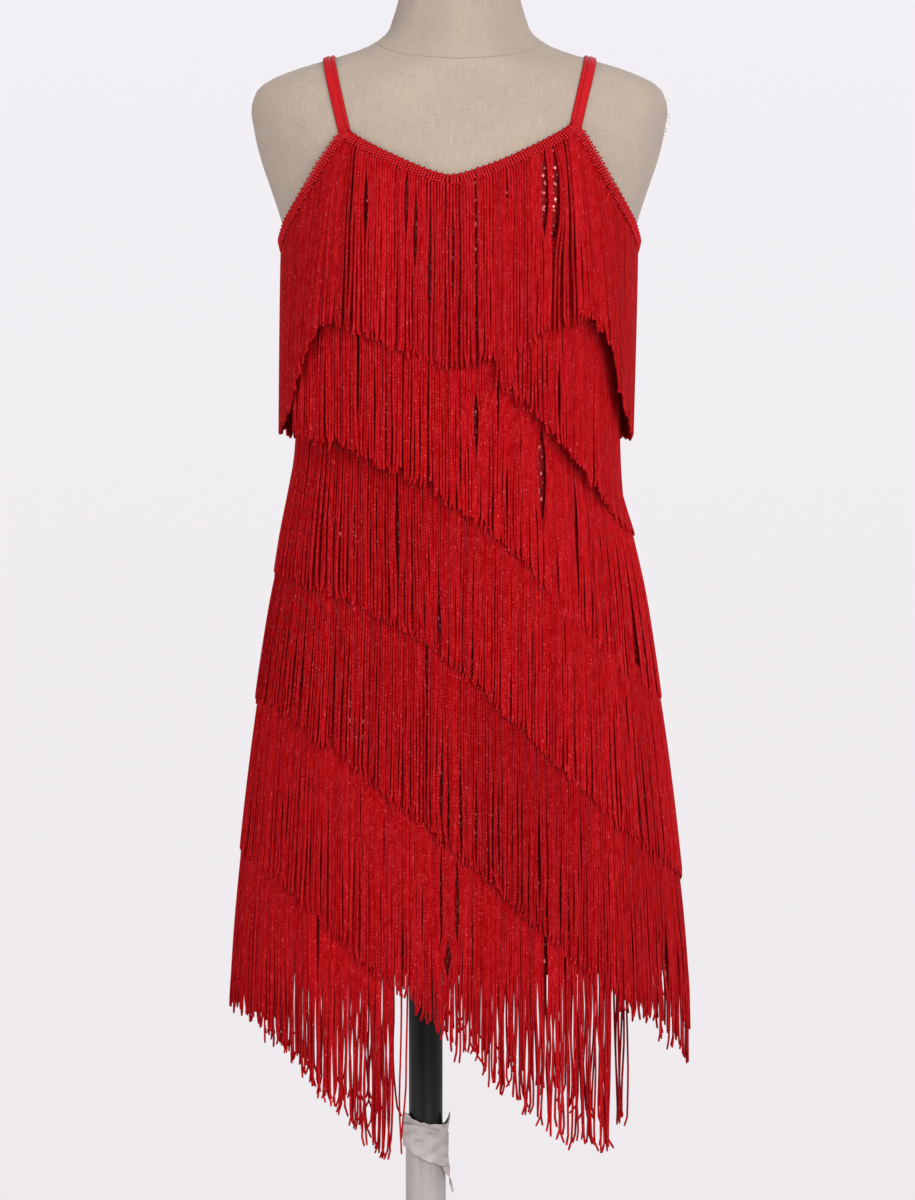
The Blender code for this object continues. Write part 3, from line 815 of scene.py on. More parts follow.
def grown(name, places, tree, material, **settings):
    """The plain mesh piece that a tree makes from its places."""
    seed = bpy.data.objects.new(name + "_places", places)
    scene.collection.objects.link(seed)
    modifier = seed.modifiers.new("grow", "NODES")
    modifier.node_group = tree
    for label, value in {"Material": material, **settings}.items():
        modifier[tree.interface.items_tree[label].identifier] = value
    bpy.context.view_layer.update()
    graph = bpy.context.evaluated_depsgraph_get()
    mesh = bpy.data.meshes.new_from_object(
        seed.evaluated_get(graph), preserve_all_data_layers=True, depsgraph=graph
    )
    bpy.data.objects.remove(seed)
    bpy.data.meshes.remove(places)
    mesh.name = name
    return add_piece(name, mesh, material)


sequin_film, tree, shader = new_finish("sequin_film", 0.12, 1.0)
shader.inputs["Specular Tint"].default_value = (1.0, 0.24, 0.22, 1.0)
film_stops = ((0.0, (0.050, 0.001, 0.002)), (1.0, (0.115, 0.001, 0.003)))
painted(tree, shader, surface_value(tree, "tint"), film_stops)

sequin_tree, given, result = new_grower(
    "sew_sequins",
    (
        ("Radius", "Float", SEQUIN_R),
        ("Hole radius", "Float", 0.0006),
        ("Cup", "Float", 0.00022),
        ("Tilt", "Float", 0.055),
        ("Seed", "Int", 5),
    ),
)
cup_sizes = {
    "Vertices": 8,
    "Radius Bottom": given["Radius"],
    "Radius Top": given["Hole radius"],
    "Depth": given["Cup"],
}
cup = node(sequin_tree, "GeometryNodeMeshCone", cup_sizes, out="Mesh", fill_type="NONE")
tilt_low = maths(sequin_tree, "MULTIPLY", given["Tilt"], -1.0)
tilts = {}
for way, seed in (("X", given["Seed"]), ("Y", maths(sequin_tree, "ADD", given["Seed"], 1.0))):
    draw = {2: tilt_low, 3: given["Tilt"], "Seed": seed}
    tilts[way] = node(sequin_tree, "FunctionNodeRandomValue", draw, out=1, data_type="FLOAT")
tilt = node(sequin_tree, "ShaderNodeCombineXYZ", tilts)
turns = {
    "Rotation": lying(sequin_tree, attribute(sequin_tree, "outward"), (0.0, 0.0, 1.0)),
    "Rotate By": node(sequin_tree, "FunctionNodeEulerToRotation", {0: tilt}),
}
tilted = node(sequin_tree, "FunctionNodeRotateRotation", turns, rotation_space="LOCAL")
sewn = repeated(sequin_tree, given["Places"], cup, tilted)
finished(sequin_tree, sewn, given["Material"], result)


def outward_at(points_at, angle, z):
    """Outward directions of a surface, from small steps along it."""
    step = 0.0006
    across = points_at(angle + step, z) - points_at(angle - step, z)
    up = points_at(angle, z + step) - points_at(angle, z - step)
    normal = np.cross(across, up)
    return normal / np.linalg.norm(normal, axis=-1, keepdims=True)


def sequin_places(start, end, seed):
    """Staggered rows of places over a panel."""
    rng = np.random.default_rng(seed)
    fine = np.linspace(start, end, LINE_STEPS)
    angles, heights = [], []
    for row, z in enumerate(np.arange(HEM_Z + SEQUIN_EDGE, TOP_Z.max(), SEQUIN_PITCH[1])):
        run = path_run(cloth_points(fine, np.full(LINE_STEPS, z)))
        marks = np.arange(SEQUIN_PITCH[0] * (0.5 + 0.5 * (row % 2)), run[-1], SEQUIN_PITCH[0])
        marks = marks + rng.uniform(-SEQUIN_STRAY, SEQUIN_STRAY, len(marks))
        at = np.interp(marks, run, fine)
        at = at[top_edge_z(at) > z + SEQUIN_EDGE]
        angles.append(at)
        heights.append(np.full(len(at), z) + rng.uniform(-SEQUIN_STRAY, SEQUIN_STRAY, len(at)))
    angles, heights = np.concatenate(angles), np.concatenate(heights)
    return places_mesh(
        "sequin_places",
        cloth_points(angles, heights, SHELL + SEQUIN_LIFT),
        outward=outward_at(cloth_points, angles, heights),
        tint=rng.uniform(0.0, 1.0, len(angles)),
    )


for side, start, end, seed in (
    ("front", -math.pi + SEQUIN_SEAM, -SEQUIN_SEAM, 21),
    ("back", SEQUIN_SEAM, math.pi - SEQUIN_SEAM, 22),
):
    places = sequin_places(start, end, seed)
    piece = grown("sequins_" + side, places, sequin_tree, sequin_film, Seed=seed)
    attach(piece, "root")

# ---------------------------------------------------------------- the straps
# Two flat tubes of bright stretch satin, sewn inside the dress's top edge in front and
# at the back. A stitched groove runs along each, nearer the neck's side of it.
STRAP_WIDTH = 0.011
STRAP_THICK = 0.0017
STRAP_LIFT = 0.0004
STRAP_TOP_LIFT = 0.0010
STRAP_TUCK = 0.012
STRAP_FRONT_X = 0.0955
STRAP_SHOULDER_X = 0.112
STRAP_BACK_X = 0.078
STRAP_STEPS = 110
STRAP_ROUND = 17  # points across its outer face
STRAP_UNDER = (0.96, 0.5, 0.0, -0.5, -0.96)  # and along its inner face
STRAP_SWAY = 0.0004
STRAP_RED = (0.360, 0.0030, 0.0066)
GROOVE_AT = 0.34
GROOVE_HALF = 0.13
GROOVE_DEPTH = 0.0011
STITCH_PITCH = 0.0026
STITCH_ENDS = 0.004  # left free at both ends of the groove

strap_satin, tree, shader = new_finish("strap_satin", 0.6, 0.10)
place = cloth_place(tree)
satin_knit = maths(
    tree, "MULTIPLY", waves(tree, place, 420.0, 0.3), waves(tree, place, 330.0, 0.5, "Y")
)
clouds = cloudiness(tree, place, 60.0, (1.0, 0.3, 1.0), 3.0)
satin_value = maths(tree, "ADD", maths(tree, "MULTIPLY", satin_knit, 0.3), clouds)
painted(tree, shader, satin_value, ((0.3, tinted(STRAP_RED, 0.78)), (0.8, tinted(STRAP_RED, 1.12))))
bumped(tree, shader, satin_knit, 0.00025, 0.6)


def angle_at(across, back=False):
    """The angle at which a share of the half width is reached, on the front or the back."""
    angle = np.arccos(powered(across, SQUARENESS / 2))
    return angle if back else -angle


def shoulder_top_z(x):
    """The height at which the sloping shoulder is this wide."""
    heights = np.linspace(1.36, 1.43, 400)
    return heights[np.argmax(body_size("half_width", heights) < x)]


def strap_line(side, count):
    """The strap's middle line over the shoulder, as evenly spaced angles and heights, from
    behind the front edge to behind the back edge. side is -1 or 1."""
    top_z = shoulder_top_z(STRAP_SHOULDER_X)
    angles, heights = [], []
    for low_z, low_x, back, share in (
        (TOP_Z.max() - STRAP_TUCK, STRAP_FRONT_X, False, np.linspace(0.0, 1.0, 200)),
        (BACK_EDGE_MIDDLE_Z - STRAP_TUCK, STRAP_BACK_X, True, np.linspace(1.0, 0.0, 200)),
    ):
        climb = np.sin(share * math.pi / 2)
        z = low_z + (top_z - low_z) * climb
        x = low_x + (STRAP_SHOULDER_X - low_x) * climb
        angles.append(angle_at(np.minimum(x / body_size("half_width", z), 1.0), back))
        heights.append(z)
    angles, heights = np.concatenate(angles), np.concatenate(heights)
    if side < 0:
        angles = np.where(angles > 0, math.pi - angles, -math.pi - angles) % (2 * math.pi)
    run = path_run(body_points(angles, heights))
    marks = np.linspace(0.0, run[-1], count)
    return np.interp(marks, run, angles), np.interp(marks, run, heights), run[-1]


def strap_frame(side, count):
    """Points, outward and sideways directions and run along a strap."""
    angles, heights, length = strap_line(side, count)
    middle = body_points(angles, heights)
    outward = outward_at(body_points, angles, heights)
    sideways = np.cross(outward, np.gradient(middle, axis=0))
    sideways /= np.linalg.norm(sideways, axis=1, keepdims=True)
    share = np.linspace(0.0, 1.0, count)
    lift = STRAP_LIFT + STRAP_TOP_LIFT * np.sin(math.pi * share) ** 0.5
    return middle + outward * lift[:, None], outward, sideways, share * length


def strap(name, side):
    middle, outward, sideways, run = strap_frame(side, STRAP_STEPS)
    across = np.linspace(-1.0, 1.0, STRAP_ROUND)
    groove = np.exp(-(((across - side * GROOVE_AT) / GROOVE_HALF) ** 2))
    crown = STRAP_THICK * (1 - np.abs(across) ** 5) ** 0.5 * (0.92 + 0.08 * np.cos(2 * across))
    face = np.stack((across, crown - GROOVE_DEPTH * groove), axis=1)
    ring = np.concatenate((face, [(at, 0.0) for at in STRAP_UNDER]))
    sway = STRAP_SWAY * np.sin(run * 46 + side)
    points = (
        middle[:, None, :]
        + sideways[:, None, :] * (ring[None, :, :1] * STRAP_WIDTH / 2 + sway[:, None, None])
        + outward[:, None, :] * ring[None, :, 1:]
    )
    edge = np.concatenate((ring, ring[:1])) * (STRAP_WIDTH / 2, 1.0)
    mesh = grid_mesh(name, points, *np.meshgrid(path_run(edge), run), around=True)
    worked(mesh, fill_ends, lambda bm: bmesh.ops.recalc_face_normals(bm, faces=bm.faces))
    piece = add_piece(name, mesh, strap_satin)
    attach(piece, "root")
    return piece


strap_left = strap("strap_left_tube", -1)
strap_right = strap("strap_right_tube", 1)
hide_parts("strap_left")
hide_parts("strap_right")

# Real stitches, coloured dark red so that they also paint the shade along the strap's groove they lie
# in.
thread_red_shade, tree, shader = new_finish("sewing_thread", 0.6, 0.12)
thread_stops = ((0.3, (0.070, 0.001, 0.002)), (0.7, (0.150, 0.002, 0.004)))
painted(tree, shader, cloudiness(tree, object_place(tree), 900.0), thread_stops)


def centred_line(tree, length, points):
    """An upright line of evenly spaced points, its middle at the origin."""
    half = maths(tree, "MULTIPLY", length, 0.5)
    ends = {"Start": maths(tree, "MULTIPLY", half, -1.0), "End": half}
    ends = {label: node(tree, "ShaderNodeCombineXYZ", {"Z": z}) for label, z in ends.items()}
    line = node(tree, "GeometryNodeCurvePrimitiveLine", ends)
    return node(tree, "GeometryNodeResampleCurve", {"Curve": line, "Count": points})


def ring_curve(tree, sides, radius):
    return node(tree, "GeometryNodeCurvePrimitiveCircle", {"Resolution": sides, "Radius": radius})


def rod(tree, line, ring, girth=1.0):
    """A closed rod along a curve."""
    inputs = {"Curve": line, "Profile Curve": ring, "Scale": girth, "Fill Caps": True}
    return node(tree, "GeometryNodeCurveToMesh", inputs)


stitch_tree, given, result = new_grower(
    "sew_stitches", (("Length", "Float", 0.0018), ("Thickness", "Float", 0.00032))
)
stitch = rod(
    stitch_tree,
    centred_line(stitch_tree, given["Length"], 4),
    ring_curve(stitch_tree, 5, given["Thickness"]),
)
turn = lying(stitch_tree, attribute(stitch_tree, "along"), attribute(stitch_tree, "outward"))
sewn = repeated(stitch_tree, given["Places"], stitch, turn)
finished(stitch_tree, sewn, given["Material"], result)

for name, side in (("strap_left_stitches", -1), ("strap_right_stitches", 1)):
    *lines, run = strap_frame(side, LINE_STEPS)
    marks = np.arange(STITCH_ENDS, run[-1] - STITCH_ENDS, STITCH_PITCH)
    at, out, beside = (
        np.stack([np.interp(marks, run, line[:, k]) for k in range(3)], axis=1) for line in lines
    )
    spots = at + beside * (side * GROOVE_AT * STRAP_WIDTH / 2) + out * (STRAP_THICK - GROOVE_DEPTH)
    places = places_mesh(name, spots, along=np.gradient(at, axis=0), outward=out)
    piece = grown(name, places, stitch_tree, thread_red_shade)
    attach(piece, "root")

# ---------------------------------------------------------------- the fringe's header tapes
# Each row hangs from a narrow woven tape, sewn flat to the cloth on a slant. Round ribs
# cross it, chained together in rows, and every other one loops out of its upper edge.
CLOTH = 0.0012  # from the cloth's inner face out to where trimming lies
STRAP_CORNER = 0.54  # share of the half width at which the straps meet the top edge
HEADER_WIDTH = 0.010
HEADER_LIFT = 0.0011
RIB_PITCH = 0.0026
RIB_R = 0.00117
RIB_LENGTH = 0.0088
RIB_LIFT = {"top": 0.0015}
RIB_SUNK = -0.0004  # the other tapes lie deeper, under their yarns
ARMHOLE_LIFT = 0.0022
PICOT = 0.0010  # how far every other rib stands above the edge
RIB_PHASE = 1.9  # how far the chained rows are out of step from rib to rib
LOWEST_HEADER_Z = HEM_Z + HEADER_WIDTH + 0.002
ROW_COLUMNS = (
    "name", "start", "end", "left", "front_left", "front_middle", "front_right", "right",
    "back_right", "back_middle", "back_left", "drop",
)
ROWS = (
    ("bust", -78, 57, 1.3000, 1.3000, 1.2940, 1.2385, 1.1545, 1.2110, 1.2400, 1.2400, 0.163),
    ("waist", -154, 133, 1.2389, 1.2081, 1.1657, 1.1062, 1.0076, 1.0760, 1.1350, 1.1870, 0.158),
    ("hip", -180, 180, 1.1168, 1.0775, 1.0354, 0.9596, 0.8579, 0.9290, 0.9900, 1.0550, 0.162),
    ("thigh", -180, 180, 1.0219, 0.9546, 0.8908, 0.8067, 0.7110, 0.7900, 0.8710, 0.9450, 0.172),
    ("hem", 41, 311, 0.8954, 0.8105, 0.7350, 0.6535, 0.6400, 0.6640, 0.7320, 0.8110, 0.176),
    ("tail", 105, 258.7, 0.7660, 0.6780, 0.6010, 0.6335, 0.6335, 0.6330, 0.6440, 0.6720, 0.178),
)
TOP_DROP = 0.163
YARN_RED = (0.282, 0.0004, 0.0014)
# Painted highlights on the braid's crests, and painted shade in its grooves.
YARN_CREST_HIGHLIGHT = (0.318, 0.0060, 0.0090)
YARN_GROOVE_SHADE = (0.140, 0.0001, 0.0003)
# Painted highlight on the header tapes' chain stitches.
RIB_STITCH_HIGHLIGHT = (0.520, 0.0280, 0.0340)


def row_height(row):
    """The function that gives a slanted row's header height at an angle."""
    stations = (-1.0, -0.5, 0.0, 0.5, 1.0)
    front = [row[n] for n in ("left", "front_left", "front_middle", "front_right", "right")]
    back = [row[n] for n in ("left", "back_left", "back_middle", "back_right", "right")]

    def height(angle):
        front_z, back_z = (smooth_read(stations, z, share_across(angle)) for z in (front, back))
        return np.maximum(np.where(np.sin(angle) < 0, front_z, back_z), LOWEST_HEADER_Z)

    return height


left_corner = -math.pi - float(angle_at(STRAP_CORNER))
right_corner = float(angle_at(STRAP_CORNER))
run_ends = (-math.pi, left_corner, right_corner, 0.0, math.pi)
fringe_runs = {"top": [(a, b, top_edge_z) for a, b in zip(run_ends, run_ends[1:])]}
fringe_drop = {"top": TOP_DROP}
for values in ROWS:
    row = dict(zip(ROW_COLUMNS, values))
    ends = (math.radians(row["start"]), math.radians(row["end"]))
    fringe_runs[row["name"]] = [(*ends, row_height(row))]
    fringe_drop[row["name"]] = row["drop"]


def laid_points(angle, z, out=0.0):
    """Points out of the cloth's outer face, without its folds, where trimming lies."""
    return body_points(angle, z, body_size("ease", z) + CLOTH + out)


def spaced_header(start, end, height, pitch):
    """Evenly spaced places along a header's upper edge: angles, heights, and the
    directions down across the tape and outwards."""
    fine = np.linspace(start, end, 1600)
    run = path_run(laid_points(fine, height(fine)))
    count = max(int(round(run[-1] / pitch)), 2)
    angles = np.interp((np.arange(count) + 0.5) * run[-1] / count, run, fine)
    step = 0.004
    low = np.maximum(angles - step, start)
    high = np.minimum(angles + step, end)
    along = laid_points(high, height(high)) - laid_points(low, height(low))
    along /= np.linalg.norm(along, axis=1, keepdims=True)
    outward = outward_at(laid_points, angles, height(angles))
    down = np.cross(along, outward)
    down *= -np.sign(down[:, 2:])
    down /= np.linalg.norm(down, axis=1, keepdims=True)
    return angles, height(angles), down, outward


# The ribs' colour is painted light and shade: painted shade at its dark end, and painted highlights,
# brightest and pinkest on the chain stitches that repeat along each rib.
rib_yarn, tree, shader = new_finish("header_yarn", 0.65, 0.02)
rise = surface_value(tree, "rise")
turn = maths(tree, "ADD", maths(tree, "MULTIPLY", rise, 12.5), surface_value(tree, "phase"))
chains = maths(tree, "MULTIPLY_ADD", maths(tree, "SINE", turn), 0.5, 0.5)
chains = maths(tree, "MULTIPLY", maths(tree, "POWER", chains, 3.0), 0.44)
rib_value = maths(tree, "ADD", chains, cloudiness(tree, object_place(tree), 1400.0))
# The loops at the upper edge are darker.
rib_value = maths(tree, "ADD", rib_value, spread(tree, rise, 0.78, 0.98, to_high=-0.42))
rib_shade = (0.26, tinted(YARN_GROOVE_SHADE, 0.6))
painted(tree, shader, rib_value, (rib_shade, (0.50, YARN_RED), (0.70, YARN_CREST_HIGHLIGHT), (0.86, RIB_STITCH_HIGHLIGHT)))
bumped(tree, shader, rib_value, 0.0004, 0.7)


def stored(tree, geometry, name, value):
    """Keeps a value on a curve's points, for the finish to read."""
    inputs = {"Geometry": geometry, "Name": name, "Value": value}
    return node(tree, "GeometryNodeStoreNamedAttribute", inputs, data_type="FLOAT", domain="POINT")


def shaded_smooth(tree, geometry):
    return node(tree, "GeometryNodeSetShadeSmooth", {"Geometry": geometry})


header_tree, given, result = new_grower(
    "weave_header", (("Width", "Float", RIB_LENGTH), ("Rib radius", "Float", RIB_R))
)
factor = node(header_tree, "GeometryNodeSplineParameter", out="Factor")
side = spread(header_tree, factor, to_low=-1.0, to_high=1.0)
taper = spread(header_tree, maths(header_tree, "ABSOLUTE", side), 0.86, 1.0, 1.0, 0.72)
line = stored(header_tree, centred_line(header_tree, given["Width"], 9), "rise", side)
rib = rod(header_tree, line, ring_curve(header_tree, 6, given["Rib radius"]), taper)
turn = lying(header_tree, attribute(header_tree, "up"), attribute(header_tree, "outward"))
ribs = repeated(header_tree, given["Places"], shaded_smooth(header_tree, rib), turn)
finished(header_tree, ribs, given["Material"], result)

for row_name, runs in fringe_runs.items():
    spots, ups, outs = [], [], []
    for start, end, height in runs:
        angles, heights, down, outward = spaced_header(start, end, height, RIB_PITCH)
        lift = RIB_LIFT.get(row_name, RIB_SUNK)
        if row_name == "top":  # it stands out at the armholes
            lift = lift + ARMHOLE_LIFT * np.cos(angles) ** 2 * np.sqrt(np.abs(np.sin(angles)))
        edge = laid_points(angles, heights, HEADER_LIFT + lift)
        loops = np.where(np.arange(len(angles)) % 2 == 0, PICOT, 0.0)[:, None]
        spots.append(edge + down * (RIB_LENGTH / 2 - loops))
        ups.append(-down)
        outs.append(outward)
    spots, ups, outs = np.concatenate(spots), np.concatenate(ups), np.concatenate(outs)
    phases = np.arange(len(spots)) * RIB_PHASE % (2 * math.pi)
    places = places_mesh("rib_places", spots, up=ups, outward=outs, phase=phases)
    tape = grown("header_tape_" + row_name, places, header_tree, rib_yarn)
    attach(tape, "root")

# ---------------------------------------------------------------- the fringe's yarns
# Braided yarns, about 165 mm long, hang from under every tape. They leave it square to its
# edge and turn straight down, lie over one another, and gather in small clumps at the tips.
YARN_R = 0.00120
YARN_COLUMNS = ("pitch", "girth", "painted_lightness", "lift", "clumping")
# The third column paints light and shade: each row's yarns are made lighter or darker, to even out how
# brightly the lamps light the rows.
YARN_ROWS = {
    "top": (0.0026, 1.16, 0.52, 0.0014, 0.06),
    "bust": (0.0028, 1.04, 0.70, 0.0018, 0.06),
    "waist": (0.0028, 1.03, 1.00, 0.0021, 0.06),
    "hip": (0.0028, 1.01, 0.58, 0.0032, 0.06),
    "thigh": (0.0028, 0.98, 0.32, 0.0034, 0.10),
    "hem": (0.0024, 0.96, 0.62, 0.0028, 0.12),
    "tail": (0.0021, 0.89, 0.64, 0.0022, 0.08),
}
LIFT_POWER = 0.6
# How far down a yarn its points are: first in metres, where it turns to hang straight,
# and then as shares of the rest.
YARN_TURN_POINTS = (0.0, 0.0014, 0.0030, 0.0050, 0.0075, 0.0105, 0.0145)
YARN_FALL_POINTS = (0.05, 0.12, 0.20, 0.29, 0.38, 0.48, 0.58, 0.68, 0.78, 0.88, 0.95, 0.985, 1.0)
YARN_POINTS = len(YARN_TURN_POINTS) + len(YARN_FALL_POINTS)
YARN_ROOT = {"top": 0.0066}  # how far down the tape the yarns begin
EDGE_ROOT = 0.0004  # and elsewhere, at its edge
YARN_LEAD = 0.0080  # how far down they run square to its edge
YARN_TURN = 0.0042  # the reach of the bend in which they turn straight down
LYING = 0.70  # in front and behind they lie on one another, rather than hang clear
TIPS_RAGGED = 0.0030
TIPS_STRAY = 0.0019
STRAY_SHARE = 0.08  # of the yarns are shorter or longer than that
SHORTER = {"thigh": (1, 0.060), "tail": (-1, 0.030)}  # row: side, by how much
TAIL_SHORT = 0.040  # how much shorter the last of the tail row are in front
SIDES_OUT = (
    # row, side, how far out half way down, how far out at the tips
    ("top", 1, 0.0, -0.0055),
    ("bust", 1, -0.0045, 0.0),
    ("hip", -1, 0.0042, 0.0),
)
# Over the bust the top row's yarns slide outwards: at these distances from the middle, by
# this much at the tips.
SPREAD_AT = (0.077, 0.091, 0.101, 0.114, 0.128, 0.141, 0.150)
SPREAD = (0.0, 0.0100, 0.0200, 0.0175, 0.0095, 0.0020, 0.0)
LONGER = (0.030, 0.010, 0.006)  # how far right of the middle, over what reach, by how much
CLUMP_SIZES = (3, 7)  # at least the first, and fewer than the second
CLUMP_STRAY = 0.0010
CLUMP_PULL = (0.4, 1.3)
GAP_EVERY = 20
GAP_WIDTH = (0.0004, 0.0016)
GAP_MIDDLE = (0.15, 0.95)
GAP_LENGTH = (0.10, 0.34)
GAP_REACH = 2.4  # yarns at each side of a gap that stand aside
SWAY_SHARED = 0.0024
SWAY_EACH = 0.0007
WAVER = (0.0001, 0.0006)
WAVER_BEATS = (1.0, 2.4)
LOOSE_DROP = 0.12
LOOSE_SIDEWAYS = 0.0011
LOOSE_WAVE = 0.0010
LOOSE_OUT = 0.0022
CLING_SIZES = (2, 5)  # as for the clumps
CLING_PULL = (0.02, 0.36)
HOOK = 0.0011
LAYER_EACH = (-0.0006, 0.0009)
LAYER_SHARED = 0.0005
TINT_EACH = 0.26
TINT_SHARED = 0.2
GIRTH_EACH = (0.92, 1.08)
GIRTH_LOOSE = 0.14  # how much thinner they are where they hang loose
GIRTH_TIP = 0.8
CLINGING = ((0.590, 0.022), (0.545, 0.020), (0.500, 0.022), (0.460, 0.020))  # height, reach
PARTING_HALF = 0.0075
PARTINGS = (
    # row, x, height, half length, how far the yarns stand aside
    ("top", 0.0965, 1.2680, 0.016, 0.0012),
    ("top", 0.1022, 1.2740, 0.034, 0.0042),
    ("top", 0.1110, 1.2700, 0.040, 0.0034),
    ("top", -0.0488, 1.2660, 0.022, 0.0017),
    ("top", -0.0162, 1.2660, 0.022, 0.0016),
    ("top", -0.0080, 1.2430, 0.028, 0.0018),
    ("top", 0.0245, 1.2220, 0.032, 0.0010),
    ("bust", 0.0900, 1.0500, 0.030, 0.0022),
    ("waist", 0.0985, 1.0400, 0.034, 0.0034),
    ("waist", 0.0430, 1.0850, 0.020, 0.0020),
    ("hip", -0.1270, 0.8980, 0.024, 0.0030),
    ("hip", 0.0120, 0.9060, 0.022, 0.0016),
    ("thigh", -0.1080, 0.7800, 0.022, 0.0020),
    ("thigh", 0.2040, 0.6250, 0.020, 0.0030),
    ("thigh", 0.2150, 0.6250, 0.020, 0.0030),
    ("thigh", 0.0128, 0.7720, 0.020, 0.0012),
    ("hem", 0.0135, 0.6800, 0.045, 0.0010),
    ("hem", 0.0185, 0.6330, 0.012, 0.0030),
)
BRAID_PITCH = 0.0019
# Painted highlights: the lightest end of the yarn's colour ramp, and the sparse glints.
YARN_TOP_HIGHLIGHT = (0.345, 0.0130, 0.0170)
YARN_GLINT = (0.500, 0.0500, 0.0560)

yarn, tree, shader = new_finish("fringe_yarn", 0.65, 0.02)
turn = maths(tree, "MULTIPLY", surface_value(tree, "run"), 2 * math.pi / BRAID_PITCH)
one_way, other_way = (
    maths(tree, "MULTIPLY", maths(tree, wave, turn), surface_value(tree, side))
    for wave, side in (("SINE", "side_cos"), ("COSINE", "side_sin"))
)
strands = (maths(tree, sign, one_way, other_way) for sign in ("ADD", "SUBTRACT"))
braid = spread(tree, maths(tree, "MAXIMUM", *strands), -0.7, 0.9)
place = object_place(tree)
fibre = cloudiness(tree, place, 800.0, detail=1.0)
patch = cloudiness(tree, place, 300.0, (1.0, 1.0, 0.35))
grain = maths(tree, "MULTIPLY", maths(tree, "ADD", fibre, patch), 0.5)
yarn_value = maths(tree, "ADD", maths(tree, "MULTIPLY", braid, 0.42), grain)
# The braid's colour is painted light and shade: darker in its grooves, lighter and pinker on its
# crests, brightest at the top of the ramp.
yarn_stops = ((0.46, YARN_GROOVE_SHADE), (0.72, YARN_RED), (0.90, YARN_CREST_HIGHLIGHT), (1.0, YARN_TOP_HIGHLIGHT))
# Sparse painted glints: pinkish specks stand in for the sheen of the fibres.
glint = spread(tree, cloudiness(tree, place, 560.0, detail=0.0), 0.70, 0.80, to_high=0.50)
colour = mix(tree, glint, ramp(tree, yarn_value, yarn_stops), YARN_GLINT)
# The tone holds each row's painted light and shade, besides tone that differs at random.
tone = spread(tree, surface_value(tree, "tint"), to_low=0.80, to_high=1.13)
tone = node(tree, "ShaderNodeCombineXYZ", {"X": tone, "Y": tone, "Z": tone})
tree.links.new(mix(tree, 1.0, colour, tone, "MULTIPLY"), shader.inputs["Base Color"])
bumped(tree, shader, braid, 0.0003, 0.5)

yarn_tree, given, result = new_grower(
    "hang_yarns", (("Yarn radius", "Float", YARN_R), ("Sides", "Int", 5))
)
curve = node(yarn_tree, "GeometryNodeMeshToCurve", {"Mesh": given["Places"]})
ring = ring_curve(yarn_tree, given["Sides"], given["Yarn radius"])
corner = maths(yarn_tree, "DIVIDE", 2 * math.pi, given["Sides"])
turn = maths(yarn_tree, "MULTIPLY", node(yarn_tree, "GeometryNodeInputIndex"), corner)
for label, operation in (("side_cos", "COSINE"), ("side_sin", "SINE")):
    ring = stored(yarn_tree, ring, label, maths(yarn_tree, operation, turn))
body = rod(yarn_tree, curve, ring, attribute(yarn_tree, "girth", "FLOAT"))
finished(yarn_tree, shaded_smooth(yarn_tree, body), given["Material"], result)


def ragged(rng, count, spacing):
    """Random values from -1 to 1 that change smoothly along a row of yarns."""
    knots = max(int(count / spacing) + 2, 3)
    at = np.linspace(0.0, knots - 1.0, count)
    return np.interp(at, np.arange(knots), rng.uniform(-1.0, 1.0, knots))


def bell(value, middle, reach, power=2):
    return np.exp(-(((value - middle) / reach) ** power))


def column(values):
    """A value for each yarn, to be met by one for each point down it."""
    return values[:, None]


